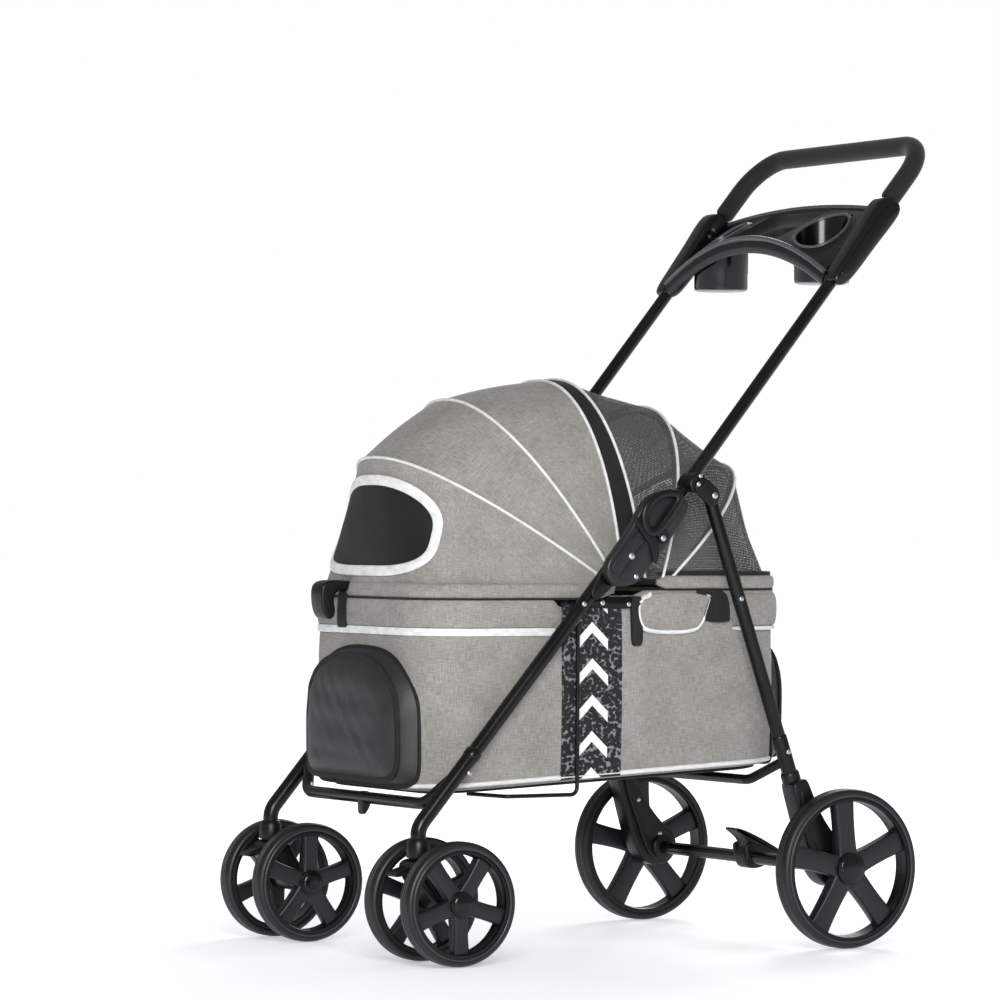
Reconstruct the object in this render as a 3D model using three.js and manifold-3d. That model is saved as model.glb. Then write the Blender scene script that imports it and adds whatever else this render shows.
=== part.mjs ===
// A folding four-wheel pet stroller: a tubular frame with twin front casters, a fabric basket
// under a hooped hood, and a foam-gripped handle with a drinks tray.
// Millimetres. +X is the stroller's left side, -Y its front, +Z up. The wheels stand on Z = 0.
import * as THREE from "three";
import { mergeVertices } from "three/addons/utils/BufferGeometryUtils.js";
import Module from "manifold-3d";

const wasm = await Module();
wasm.setup();

// ---------------------------------------------------------------- driving dimensions
const GAP = 0.4; // clearance between touching pieces
const AXLE_RUN = 0.6; // running clearance round an axle or a hinge pin

const REAR_WHEEL = { radius: 100, width: 27, x: 240, y: 300 };
const FRONT_WHEEL = { radius: 75, width: 25, offset: 44 };
const AXLE_RADIUS = 5;
const HUB_RADIUS = 17;
const RIM_DEPTH = 9;
const TYRE_DEPTH = 10;
const SPOKES = 5;
const TYRE_FACETS = 32;
const RIM_FACETS = 24;

const HANDLE_X = 192; // side plane of the handle tubes
const HANDLE_RADIUS = 8;
const LEG_RADIUS = 9.5;
const LEG_X = HANDLE_X + HANDLE_RADIUS - LEG_RADIUS; // legs and handle tubes are flush outside
const CASTER = { x: LEG_X, y: -288, trail: 30, socketTop: 149.5, socketFoot: 128, radius: 14 };
const REAR_LEG_X = 204; // side plane of the rear legs
const REAR_LEG_RADIUS = 9;

const FOLD_PIVOT = [-7, 491]; // handle on front leg, as [y, z]
const REAR_PIVOT = [116, 566]; // rear leg on handle bracket
const LEG_LEAN = [-0.652, -0.758]; // unit direction down the front leg
const LEG_STANDOFF = 22; // from the fold pivot to the leg's cut end
const HANDLE_FOOT = [31, 508];
const HANDLE_TOP = [457, 1020];
const HANDLE_CORNER = 55;
const GRIP_FOOT = [393, 943];
const GRIP_RADIUS = 12.5;
const GRIP_BORE = HANDLE_RADIUS + 2.2;

const HINGE_PLATE = 4.6; // thickness of the plate on the front leg
const HINGE_HOUSING = 14;
const HINGE_PIN_RADIUS = 4;
const LEVER_THICKNESS = 6;
const BRACKET_PLATE = 4;

const BASKET = { halfWidth: 169, front: -259, rear: 266, top: 427, wall: 3, corner: 74 };
const FLOOR_Z = 203; // underside of the basket at its front
const FLOOR_RISE = 0.05; // the basket floor rises towards the rear
const PAD_THICKNESS = 24;
const RIM = { x: 166, z: 436, radius: 6, front: -256, rear: 262, corner: 78, split: -33 };

const HOOD = { halfWidth: 168, thickness: 2.5, start: 75, power: 2.3, rimPower: 3.4 };
const FRONT_HUB = [14, 444]; // pivot line of the front hoops
const CROWN_HUB = [47, 448]; // where the zip band behind the top hoop runs down to
const REAR_HUB = [66, 448]; // pivot line of the rear hoops
const HOOPS = {
  front: { hub: FRONT_HUB, angle: 32.6, reach: 309 },
  middle: { hub: FRONT_HUB, angle: 56.2, reach: 288 },
  top: { hub: FRONT_HUB, angle: 84.2, reach: 267 },
  crown: { hub: CROWN_HUB, angle: 82, reach: 266 },
  back: { hub: REAR_HUB, angle: 107, reach: 242 },
  tail: { hub: REAR_HUB, angle: 138.5, reach: 243 },
};
const HOOP_RADIUS = 2.5;
const HOOP_INSET = 7;
const SEAM = 0.4; // degrees between neighbouring hood panels

const TRAY_CLEARANCE = 1; // between the tray's ends and the handle tubes
const TRAY = { halfWidth: HANDLE_X - HANDLE_RADIUS - TRAY_CLEARANCE, front: 300, rear: 398, frontZ: 902, rearZ: 944, thickness: 4 };
const TRAY_SAG = { front: 50, rear: 12 };
const CUP = { x: 118, y: 342, radius: 36, wall: 2.5, floor: 839, base: 3, segments: 20 };

const FRAME_BLACK = { color: 0x17181a, roughness: 0.38, metalness: 0.35 };
const PLASTIC_BLACK = { color: 0x1c1d1f, roughness: 0.5, metalness: 0 };
const PLASTIC_GREY = { color: 0x33363a, roughness: 0.5, metalness: 0 };
const RUBBER = { color: 0x151515, roughness: 0.85, metalness: 0 };
const FOAM = { color: 0x101010, roughness: 0.95, metalness: 0 };
const GREY_CLOTH = { color: 0x8b8883, roughness: 0.95, metalness: 0 };
const MESH_CLOTH = { color: 0x2a2a2a, roughness: 0.9, metalness: 0 };
const STEEL = { color: 0x9a9da0, roughness: 0.3, metalness: 0.9 };

// ---------------------------------------------------------------- helpers
const stroller = new THREE.Group();

function addPiece(name, geometry, finish) {
  const mesh = new THREE.Mesh(geometry, new THREE.MeshStandardMaterial(finish));
  mesh.name = name;
  stroller.add(mesh);
  return mesh;
}

// A closed geometry as a manifold-3d solid, for a boolean cut or join.
function toSolid(geometry) {
  const bare = geometry.clone();
  bare.deleteAttribute("normal");
  bare.deleteAttribute("uv");
  const merged = mergeVertices(bare, 1e-4);
  const vertProperties = new Float32Array(merged.attributes.position.array);
  const triVerts = new Uint32Array(merged.index.array);
  return new wasm.Manifold(new wasm.Mesh({ numProp: 3, vertProperties, triVerts }));
}

function toGeometry(solid) {
  const mesh = solid.getMesh();
  const geometry = new THREE.BufferGeometry();
  geometry.setAttribute("position", new THREE.BufferAttribute(new Float32Array(mesh.vertProperties), 3));
  geometry.setIndex(new THREE.BufferAttribute(new Uint32Array(mesh.triVerts), 1));
  return geometry;
}

function join(...geometries) {
  return toGeometry(geometries.map(toSolid).reduce((a, b) => a.add(b)));
}

function cut(geometry, ...tools) {
  return toGeometry(tools.map(toSolid).reduce((a, b) => a.subtract(b), toSolid(geometry)));
}

// A side-view outline of [y, z] points, extruded along X from x0 to x1.
function sidePlate(outline, x0, x1, holes = []) {
  const points = outline.map(([y, z]) => new THREE.Vector2(y, z));
  if (THREE.ShapeUtils.isClockWise(points)) points.reverse();
  const shape = new THREE.Shape(points);
  for (const hole of holes) {
    shape.holes.push(new THREE.Path(circlePoints(hole.radius, 14, -1, hole.y, hole.z)));
  }
  const low = Math.min(x0, x1);
  const plate = new THREE.ExtrudeGeometry(shape, {
    depth: Math.abs(x1 - x0),
    bevelEnabled: false,
  });
  const turn = new THREE.Matrix4().makeBasis(
    new THREE.Vector3(0, 1, 0),
    new THREE.Vector3(0, 0, 1),
    new THREE.Vector3(1, 0, 0),
  );
  return plate.applyMatrix4(turn).translate(low, 0, 0);
}

// A round bar along X.
function crossBar(y, z, radius, x0, x1, segments = 16) {
  const bar = new THREE.CylinderGeometry(radius, radius, Math.abs(x1 - x0), segments);
  return bar.rotateZ(Math.PI / 2).translate((x0 + x1) / 2, y, z);
}

// A straight bar between two points.
function straightBar(from, to, radius, segments = 12) {
  const along = to.clone().sub(from);
  const bar = new THREE.CylinderGeometry(radius, radius, along.length(), segments);
  const up = new THREE.Vector3(0, 1, 0);
  bar.applyQuaternion(new THREE.Quaternion().setFromUnitVectors(up, along.clone().normalize()));
  return bar.translate(...from.clone().add(to).multiplyScalar(0.5).toArray());
}

// A path of straight runs joined by rounded corners.
function roundedPath(points, radius) {
  const path = new THREE.CurvePath();
  let start = points[0];
  for (let i = 1; i < points.length - 1; i++) {
    const before = points[i - 1].clone().sub(points[i]).normalize();
    const after = points[i + 1].clone().sub(points[i]).normalize();
    const reach = radius / Math.tan(before.angleTo(after) / 2);
    const arcStart = points[i].clone().addScaledVector(before, reach);
    const arcEnd = points[i].clone().addScaledVector(after, reach);
    const pull = 0.55;
    path.add(new THREE.LineCurve3(start, arcStart));
    path.add(new THREE.CubicBezierCurve3(
      arcStart,
      arcStart.clone().lerp(points[i], pull),
      arcEnd.clone().lerp(points[i], pull),
      arcEnd,
    ));
    start = arcEnd;
  }
  path.add(new THREE.LineCurve3(start, points[points.length - 1]));
  return path;
}

function circlePoints(radius, segments, turn = 1, x = 0, y = 0) {
  return Array.from({ length: segments }, (_, i) => {
    const angle = (turn * 2 * Math.PI * i) / segments;
    return new THREE.Vector2(x + radius * Math.cos(angle), y + radius * Math.sin(angle));
  });
}

function circleShape(radius, segments, holeRadius = 0) {
  const shape = new THREE.Shape(circlePoints(radius, segments));
  if (holeRadius > 0) shape.holes.push(new THREE.Path(circlePoints(holeRadius, segments, -1)));
  return shape;
}

function bentTube(path, radius, steps, segments = 10, bore = 0) {
  return new THREE.ExtrudeGeometry(circleShape(radius, segments, bore), {
    steps,
    extrudePath: path,
    bevelEnabled: false,
  });
}

// A solid of revolution about the X axis from a closed [radius, x] profile.
function wheelRing(profile, segments) {
  const points = profile.map(([r, x]) => new THREE.Vector2(r, x));
  points.push(points[0].clone());
  return new THREE.LatheGeometry(points, segments).rotateZ(-Math.PI / 2);
}

function vec(x, y, z) {
  return new THREE.Vector3(x, y, z);
}

// A point at a distance along a unit [y, z] direction and a distance square to it.
function offset([y, z], [dy, dz], along, aside = 0) {
  return [y + dy * along - dz * aside, z + dz * along + dy * aside];
}

// A thin shell between an outer and an inner grid of points, closed round its edges.
function shell(outer, inner) {
  const rows = outer.length;
  const columns = outer[0].length;
  const positions = [...outer.flat(), ...inner.flat()].flatMap((p) => p.toArray());
  const at = (layer, i, j) => layer * rows * columns + i * columns + j;
  const index = [];
  const quad = (a, b, c, d) => index.push(a, b, c, a, c, d);
  for (let i = 0; i < rows - 1; i++) {
    for (let j = 0; j < columns - 1; j++) {
      quad(at(0, i, j), at(0, i, j + 1), at(0, i + 1, j + 1), at(0, i + 1, j));
      quad(at(1, i, j), at(1, i + 1, j), at(1, i + 1, j + 1), at(1, i, j + 1));
    }
  }
  for (let j = 0; j < columns - 1; j++) {
    quad(at(0, 0, j), at(1, 0, j), at(1, 0, j + 1), at(0, 0, j + 1));
    quad(at(0, rows - 1, j), at(0, rows - 1, j + 1), at(1, rows - 1, j + 1), at(1, rows - 1, j));
  }
  for (let i = 0; i < rows - 1; i++) {
    quad(at(0, i, 0), at(0, i + 1, 0), at(1, i + 1, 0), at(1, i, 0));
    quad(at(0, i, columns - 1), at(1, i, columns - 1), at(1, i + 1, columns - 1), at(0, i + 1, columns - 1));
  }
  const geometry = new THREE.BufferGeometry();
  geometry.setAttribute("position", new THREE.Float32BufferAttribute(positions, 3));
  geometry.setIndex(index);
  return toSolidSide(geometry);
}

// Turns a closed geometry's faces outwards if they point in.
function toSolidSide(geometry) {
  if (toSolid(geometry).volume() > 0) return geometry;
  const index = geometry.index.array;
  for (let i = 0; i < index.length; i += 3) {
    [index[i + 1], index[i + 2]] = [index[i + 2], index[i + 1]];
  }
  return geometry;
}

const SIDES = [["left", 1], ["right", -1]];
const handleRun = Math.hypot(HANDLE_TOP[0] - HANDLE_FOOT[0], HANDLE_TOP[1] - HANDLE_FOOT[1]);
const HANDLE_LEAN = [
  (HANDLE_TOP[0] - HANDLE_FOOT[0]) / handleRun,
  (HANDLE_TOP[1] - HANDLE_FOOT[1]) / handleRun,
];
// The handle tube's outer face and the leg's outer face share the plane that hinge parts start from.
const HINGE_FACE = Math.max(LEG_X + LEG_RADIUS, HANDLE_X + HANDLE_RADIUS) + GAP;

// ---------------------------------------------------------------- wheels
function tyre(radius, width) {
  const seat = radius - TYRE_DEPTH;
  const half = width / 2;
  return wheelRing([
    [seat, -half],
    [radius - 4, -half * 0.95],
    [radius, -half * 0.4],
    [radius, half * 0.4],
    [radius - 4, half * 0.95],
    [seat, half],
  ], TYRE_FACETS);
}

function spokedHub(radius, width) {
  const seat = radius - TYRE_DEPTH - GAP * 2;
  const half = width / 2;
  const bore = AXLE_RADIUS + AXLE_RUN;
  const rim = wheelRing([
    [seat - RIM_DEPTH, -half * 0.6],
    [seat, -half * 0.6],
    [seat, half * 0.6],
    [seat - RIM_DEPTH, half * 0.6],
  ], RIM_FACETS);
  const hub = wheelRing([[bore, -half], [HUB_RADIUS, -half], [HUB_RADIUS, half], [bore, half]], 14);
  const spokeFoot = HUB_RADIUS - 3;
  const spokeLength = seat - RIM_DEPTH / 2 - spokeFoot;
  const spokes = Array.from({ length: SPOKES }, (_, i) => {
    const spoke = new THREE.BoxGeometry(half * 0.8, radius * 0.16, spokeLength);
    return spoke.translate(0, 0, spokeFoot + spokeLength / 2).rotateX((i * 2 * Math.PI) / SPOKES);
  });
  return join(rim, hub, ...spokes);
}

function addWheel(name, size, x, y) {
  addPiece(`${name}_hub`, spokedHub(size.radius, size.width).translate(x, y, size.radius), PLASTIC_BLACK);
  addPiece(`${name}_tyre`, tyre(size.radius, size.width).translate(x, y, size.radius), RUBBER);
}

// ---------------------------------------------------------------- front casters
const casterAxleY = CASTER.y + CASTER.trail;

function casterFork(side) {
  const x = side * CASTER.x;
  const neck = FRONT_WHEEL.offset - FRONT_WHEEL.width / 2 - 8;
  const crown = CASTER.socketFoot - GAP;
  const outline = [
    [CASTER.y - 16, crown],
    [CASTER.y - 15, crown - 22],
    [casterAxleY - 12, FRONT_WHEEL.radius - 6],
    [casterAxleY - 2, FRONT_WHEEL.radius - 13],
    [casterAxleY + 10, FRONT_WHEEL.radius - 8],
    [casterAxleY + 12, FRONT_WHEEL.radius + 6],
    [CASTER.y + 20, crown - 14],
    [CASTER.y + 16, crown],
  ];
  const reach = FRONT_WHEEL.offset + FRONT_WHEEL.width / 2;
  const body = sidePlate(outline, x - neck, x + neck);
  const axle = crossBar(casterAxleY, FRONT_WHEEL.radius, AXLE_RADIUS, x - reach, x + reach, 12);
  return join(body, axle);
}

function casterSocket(side) {
  const height = CASTER.socketTop - CASTER.socketFoot;
  const socket = new THREE.CylinderGeometry(CASTER.radius, CASTER.radius, height, 20);
  return socket.rotateX(Math.PI / 2).translate(side * CASTER.x, CASTER.y, CASTER.socketFoot + height / 2);
}

// ---------------------------------------------------------------- front frame
function frontLegPoint(y) {
  return FOLD_PIVOT[1] + ((y - FOLD_PIVOT[0]) * LEG_LEAN[1]) / LEG_LEAN[0];
}

function frontLeg(side) {
  const x = side * LEG_X;
  const top = offset(FOLD_PIVOT, LEG_LEAN, LEG_STANDOFF);
  const knee = vec(x, CASTER.y, frontLegPoint(CASTER.y));
  const foot = vec(x, CASTER.y, CASTER.socketTop + GAP);
  const path = roundedPath([foot, knee, vec(x, ...top)], 12);
  return bentTube(path, LEG_RADIUS, 16);
}

// The plate riveted to the top of the front leg, with the eye that turns on the hinge pin.
function hingeBase(side) {
  const reach = 64;
  const outline = [
    offset(FOLD_PIVOT, LEG_LEAN, -15, 6),
    offset(FOLD_PIVOT, LEG_LEAN, -8, 14),
    offset(FOLD_PIVOT, LEG_LEAN, 8, 14),
    offset(FOLD_PIVOT, LEG_LEAN, reach, 9),
    offset(FOLD_PIVOT, LEG_LEAN, reach + 6, 0),
    offset(FOLD_PIVOT, LEG_LEAN, reach, -9),
    offset(FOLD_PIVOT, LEG_LEAN, 8, -14),
    offset(FOLD_PIVOT, LEG_LEAN, -8, -14),
    offset(FOLD_PIVOT, LEG_LEAN, -15, -6),
  ];
  const eye = { y: FOLD_PIVOT[0], z: FOLD_PIVOT[1], radius: HINGE_PIN_RADIUS + AXLE_RUN };
  return sidePlate(outline, side * HINGE_FACE, side * (HINGE_FACE + HINGE_PLATE), [eye]);
}

function frontCrossTube() {
  const endY = -240;
  const end = LEG_X - LEG_RADIUS - 6;
  const path = roundedPath([
    vec(end, endY, frontLegPoint(endY) - 2),
    vec(150, -257, 190),
    vec(-150, -257, 190),
    vec(-end, endY, frontLegPoint(endY) - 2),
  ], 22);
  return bentTube(path, 7, 24, 8);
}

// The wire that hangs beside the basket and carries the front of its floor.
function supportWire(side) {
  const x = side * 178.5;
  const path = roundedPath([vec(x, -58, 418), vec(x, -58, 200), vec(x, -158, 200), vec(side * 122, -180, 200)], 8);
  return bentTube(path, 2, 16, 6);
}

// ---------------------------------------------------------------- handle frame
function handlePath(foot) {
  return roundedPath([
    vec(HANDLE_X, ...foot),
    vec(HANDLE_X, ...HANDLE_TOP),
    vec(-HANDLE_X, ...HANDLE_TOP),
    vec(-HANDLE_X, ...foot),
  ], HANDLE_CORNER);
}

// The plastic case on the handle side of the fold hinge.
function hingeHousing(side) {
  const outline = [
    [-39, 464], [-42, 482], [-24, 504], [-4, 529], [6, 550], [21, 565],
    [42, 571], [66, 568], [79, 556], [74, 540], [53, 514], [16, 470], [-2, 456], [-24, 454],
  ];
  const inner = side * (HINGE_FACE + HINGE_PLATE + GAP);
  const outer = side * (HINGE_FACE + HINGE_PLATE + GAP + HINGE_HOUSING);
  const eye = { y: FOLD_PIVOT[0], z: FOLD_PIVOT[1], radius: HINGE_PIN_RADIUS + AXLE_RUN };
  const shellPlate = sidePlate(outline, inner, outer, [eye]);
  const saddleOutline = [
    offset(HANDLE_FOOT, HANDLE_LEAN, 26, 8),
    offset(HANDLE_FOOT, HANDLE_LEAN, 26, -8),
    offset(HANDLE_FOOT, HANDLE_LEAN, 62, -8),
    offset(HANDLE_FOOT, HANDLE_LEAN, 62, 8),
  ];
  const saddle = sidePlate(saddleOutline, side * HINGE_FACE, side * (HINGE_FACE + HINGE_PLATE + GAP + 2));
  return join(shellPlate, saddle);
}

const leverInner = HINGE_FACE + HINGE_PLATE + HINGE_HOUSING + GAP * 2;

// The pull loop that frees the fold lock.
function releaseLever(side) {
  const outline = [
    [14, 524], [20, 509], [34, 503], [47, 508], [60, 524], [76, 546],
    [75, 561], [62, 569], [42, 571], [22, 565], [8, 551], [4, 534],
  ];
  const plate = sidePlate(outline, side * leverInner, side * (leverInner + LEVER_THICKNESS));
  const slotTool = sidePlate(
    [[19, 533], [40, 562], [57, 560], [34, 527]],
    side * (leverInner - 1),
    side * (leverInner + LEVER_THICKNESS + 1),
  );
  return cut(plate, slotTool);
}

function hingePin(side) {
  const x0 = HINGE_FACE - GAP - 3.4;
  const head = HINGE_PIN_RADIUS + 3;
  const x1 = HINGE_FACE + HINGE_PLATE + HINGE_HOUSING + GAP;
  const [y, z] = FOLD_PIVOT;
  return join(
    crossBar(y, z, head, side * x0, side * (x0 + 3), 14),
    crossBar(y, z, HINGE_PIN_RADIUS, side * (x0 + 2), side * (x1 + 1.5), 14),
    crossBar(y, z, head, side * (x1 + GAP), side * (x1 + GAP + 2.5), 14),
  );
}

// The clamp on the handle tube that the rear leg hangs from.
function legBracket(side) {
  const along = (REAR_PIVOT[0] - HANDLE_FOOT[0]) * HANDLE_LEAN[0] + (REAR_PIVOT[1] - HANDLE_FOOT[1]) * HANDLE_LEAN[1];
  const clampOutline = [
    offset(HANDLE_FOOT, HANDLE_LEAN, along - 8, 9),
    offset(HANDLE_FOOT, HANDLE_LEAN, along - 8, -9),
    offset(HANDLE_FOOT, HANDLE_LEAN, along + 26, -9),
    offset(HANDLE_FOOT, HANDLE_LEAN, along + 26, 9),
  ];
  const inner = REAR_LEG_X + REAR_LEG_RADIUS + GAP;
  const plateOutline = [
    clampOutline[3],
    clampOutline[0],
    offset(REAR_PIVOT, HANDLE_LEAN, -11, 3),
    offset(REAR_PIVOT, HANDLE_LEAN, -9, -8),
    offset(REAR_PIVOT, HANDLE_LEAN, 0, -12),
    offset(REAR_PIVOT, HANDLE_LEAN, 9, -8),
    offset(REAR_PIVOT, HANDLE_LEAN, 20, 6),
    clampOutline[2],
  ];
  const block = sidePlate(clampOutline, side * HINGE_FACE, side * (inner + BRACKET_PLATE));
  return join(block, sidePlate(plateOutline, side * inner, side * (inner + BRACKET_PLATE)));
}

// Height of the tray's top face: it slopes up to the rear and droops towards both side tubes.
function trayTop(x, y) {
  const back = (y - TRAY.front) / (TRAY.rear - TRAY.front);
  const side = (x / TRAY.halfWidth) ** 2;
  const front = TRAY.frontZ - TRAY_SAG.front * side;
  const rear = TRAY.rearZ - TRAY_SAG.rear * side;
  return front + (rear - front) * back;
}

function cupWell(x, radius, floor, top) {
  const well = new THREE.CylinderGeometry(radius, radius, top - floor, CUP.segments);
  return well.rotateX(Math.PI / 2).translate(x, CUP.y, (top + floor) / 2);
}

function drinkTray() {
  const columns = 10;
  const rows = 2;
  const grid = (drop) => Array.from({ length: rows + 1 }, (_, i) => Array.from({ length: columns + 1 }, (_, j) => {
    const x = -TRAY.halfWidth + (2 * TRAY.halfWidth * j) / columns;
    const y = TRAY.front + ((TRAY.rear - TRAY.front) * i) / rows;
    return vec(x, y, trayTop(x, y) - drop);
  }));
  const plate = shell(grid(0), grid(TRAY.thickness));
  const mouth = 905;
  const cups = [-CUP.x, CUP.x].map((x) => cupWell(x, CUP.radius, CUP.floor, mouth));
  const hollows = [-CUP.x, CUP.x].map((x) => cupWell(x, CUP.radius - CUP.wall, CUP.floor + CUP.base, mouth + 60));
  return cut(join(plate, ...cups), ...hollows);
}

// The moulded cheek that clips the tray to the outside of the handle tube.
function trayWing(side) {
  const outline = [
    [297, 843], [312, 831], [361, 884], [397, 927], [390, 940], [378, 945], [340, 903],
  ];
  return sidePlate(outline, side * HINGE_FACE, side * (HINGE_FACE + 12));
}

// ---------------------------------------------------------------- rear frame
const REAR_LEG_FOOT = [243, 206];

function rearLeg(side) {
  const x = side * REAR_LEG_X;
  const top = [REAR_PIVOT[0] - 3, REAR_PIVOT[1] + 8];
  return straightBar(vec(x, ...REAR_LEG_FOOT), vec(x, ...top), REAR_LEG_RADIUS);
}

// The moulded foot that joins the rear leg, the axle and the wheel's stub axle.
function rearHousing(side) {
  const { y, radius } = REAR_WHEEL;
  const outline = [
    [232, 200], [254, 208], [266, 186], [280, 160],
    ...[[4, 32], [24, 18], [28, -2], [18, -20], [-2, -26], [-22, -20], [-36, -2], [-46, 24]]
      .map(([dy, dz]) => [y + dy, radius + dz]),
    [244, 160],
  ];
  const inner = REAR_LEG_X - 16;
  const outer = REAR_WHEEL.x - REAR_WHEEL.width / 2 - 2;
  const stubEnd = REAR_WHEEL.x + REAR_WHEEL.width / 2;
  return join(
    sidePlate(outline, side * inner, side * outer),
    crossBar(y, radius, AXLE_RADIUS, side * (outer - 1), side * stubEnd, 12),
  );
}

function rearAxle() {
  const end = REAR_LEG_X - 16 - GAP;
  return crossBar(REAR_WHEEL.y, REAR_WHEEL.radius, 8.5, -end, end, 14);
}

function rearCrossTube() {
  const end = REAR_LEG_X - REAR_LEG_RADIUS - 4;
  const path = roundedPath([
    vec(end, 232, 232),
    vec(160, 208, 209),
    vec(-160, 208, 209),
    vec(-end, 232, 232),
  ], 18);
  return bentTube(path, 6, 24, 8);
}

function brakePedal() {
  const { y, radius } = REAR_WHEEL;
  const outline = [
    [-26, 34], [-20, 36], [6, 27], [30, 16], [48, 4], [44, -3], [22, -10],
    [8, -15], [-6, -15], [-14, -8], [-14, 4], [-9, 16], [-12, 24],
  ].map(([dy, dz]) => [y + dy, radius + dz]);
  const sleeve = { y, z: radius, radius: 8.5 + AXLE_RUN };
  return sidePlate(outline, 4, 36, [sleeve]);
}

// ---------------------------------------------------------------- basket
function floorUnder(y) {
  return FLOOR_Z + FLOOR_RISE * (y - BASKET.front);
}

// A rounded rectangle in plan, as [x, y] points from the rear round the left side.
function planLoop(inset) {
  const w = BASKET.halfWidth - inset;
  const y0 = BASKET.front + inset;
  const y1 = BASKET.rear - inset;
  const r = BASKET.corner - inset;
  const corners = [[w - r, y1 - r, 0], [-w + r, y1 - r, 1], [-w + r, y0 + r, 2], [w - r, y0 + r, 3]];
  const arcSteps = 5;
  return corners.flatMap(([cx, cy, quarter]) => Array.from({ length: arcSteps + 1 }, (_, i) => {
    const angle = ((quarter + i / arcSteps) * Math.PI) / 2;
    return [cx + r * Math.cos(angle), cy + r * Math.sin(angle)];
  }));
}

// A solid through a stack of closed loops of points, each loop with the same count.
function loopStack(loops) {
  const count = loops[0].length;
  const centre = (loop) => loop.reduce((sum, p) => sum.add(p), vec(0, 0, 0)).multiplyScalar(1 / count);
  const points = [...loops.flat(), centre(loops[0]), centre(loops[loops.length - 1])];
  const index = [];
  for (let i = 0; i < loops.length - 1; i++) {
    for (let j = 0; j < count; j++) {
      const next = (j + 1) % count;
      const [a, b, c, d] = [i * count + j, i * count + next, (i + 1) * count + next, (i + 1) * count + j];
      index.push(a, b, c, a, c, d);
    }
  }
  const last = (loops.length - 1) * count;
  for (let j = 0; j < count; j++) {
    const next = (j + 1) % count;
    index.push(points.length - 2, next, j);
    index.push(points.length - 1, last + j, last + next);
  }
  const geometry = new THREE.BufferGeometry();
  geometry.setAttribute("position", new THREE.Float32BufferAttribute(points.flatMap((p) => p.toArray()), 3));
  geometry.setIndex(index);
  return toSolidSide(geometry);
}

function levelLoop(inset, height) {
  return planLoop(inset).map(([x, y]) => vec(x, y, height(y)));
}

function basketTub() {
  const { wall, top } = BASKET;
  return loopStack([
    levelLoop(14, floorUnder),
    levelLoop(0, (y) => floorUnder(y) + 14),
    levelLoop(0, () => top),
    levelLoop(wall, () => top),
    levelLoop(wall, (y) => floorUnder(y) + 14),
    levelLoop(14 + wall, (y) => floorUnder(y) + wall),
  ]);
}

function floorPad() {
  const base = BASKET.wall + GAP;
  return loopStack([
    levelLoop(26, (y) => floorUnder(y) + base),
    levelLoop(18, (y) => floorUnder(y) + base + 8),
    levelLoop(18, (y) => floorUnder(y) + base + PAD_THICKNESS - 8),
    levelLoop(26, (y) => floorUnder(y) + base + PAD_THICKNESS),
  ]);
}

function rimTube(endY) {
  const start = RIM.split + (endY < 0 ? -GAP : GAP);
  const path = roundedPath([
    vec(RIM.x, start, RIM.z),
    vec(RIM.x, endY, RIM.z),
    vec(-RIM.x, endY, RIM.z),
    vec(-RIM.x, start, RIM.z),
  ], RIM.corner);
  return bentTube(path, RIM.radius, 28, 8);
}

// A bulging D-shaped panel on an end of the basket, standing out from y0 to y1.
function endPocket(y0, y1, halfWidth, low, high) {
  const outline = [[-halfWidth, low], [halfWidth, low]];
  const steps = 8;
  for (let i = 0; i <= steps; i++) {
    const angle = (i * Math.PI) / steps;
    const shoulder = low + (high - low) * 0.45;
    outline.push([halfWidth * Math.cos(angle), shoulder + (high - shoulder) * Math.sin(angle)]);
  }
  const shape = new THREE.Shape(outline.map(([x, z]) => new THREE.Vector2(x, z)));
  const slab = new THREE.ExtrudeGeometry(shape, { depth: Math.abs(y1 - y0), bevelEnabled: false });
  return slab.rotateX(Math.PI / 2).translate(0, Math.max(y0, y1), 0);
}

function frontTab() {
  const back = Math.min(RIM.front - RIM.radius, BASKET.front) - GAP * 2;
  const outline = [
    [back, 452], [back - 36, 454], [back - 36, 447], [back - 12, 444], [back - 14, 412], [back, 408],
  ];
  return sidePlate(outline, -62, -34);
}

// ---------------------------------------------------------------- hood
// A hoop is a flattened arch in a plane through its pivot line, leaning back from the front.
function archPoint(hoop, inset, power, t) {
  const width = HOOD.halfWidth - inset;
  const reach = hoop.reach - inset;
  const x = width * Math.sign(Math.cos(t)) * Math.abs(Math.cos(t)) ** (2 / power);
  const length = reach * Math.abs(Math.sin(t)) ** (2 / power);
  const angle = THREE.MathUtils.degToRad(hoop.angle);
  return vec(x, hoop.hub[0] - length * Math.cos(angle), hoop.hub[1] + length * Math.sin(angle));
}

function archStart(hoop, inset, power) {
  return Math.asin((HOOD.start / (hoop.reach - inset)) ** (power / 2));
}

function archRow(hoop, inset, power, columns = 18) {
  const t0 = archStart(hoop, inset, power);
  return Array.from({ length: columns + 1 }, (_, j) => {
    const t = t0 + ((Math.PI - 2 * t0) * j) / columns;
    return archPoint(hoop, inset, power, t);
  });
}

function hoodPanel(rows) {
  const outer = rows.map(([hoop, power]) => archRow(hoop, 0, power));
  const inner = rows.map(([hoop, power]) => archRow(hoop, HOOD.thickness, power));
  return shell(outer, inner);
}

class HoopCurve extends THREE.Curve {
  constructor(hoop) {
    super();
    this.hoop = hoop;
    this.start = archStart(hoop, HOOP_INSET, HOOD.power);
  }
  getPoint(u) {
    const t = this.start + (Math.PI - 2 * this.start) * u;
    return archPoint(this.hoop, HOOP_INSET, HOOD.power, t);
  }
}

function hoopRod(hoop) {
  return bentTube(new HoopCurve(hoop), HOOP_RADIUS, 18, 6);
}

function tilted(hoop, degrees) {
  return { ...hoop, angle: hoop.angle + degrees };
}

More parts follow.
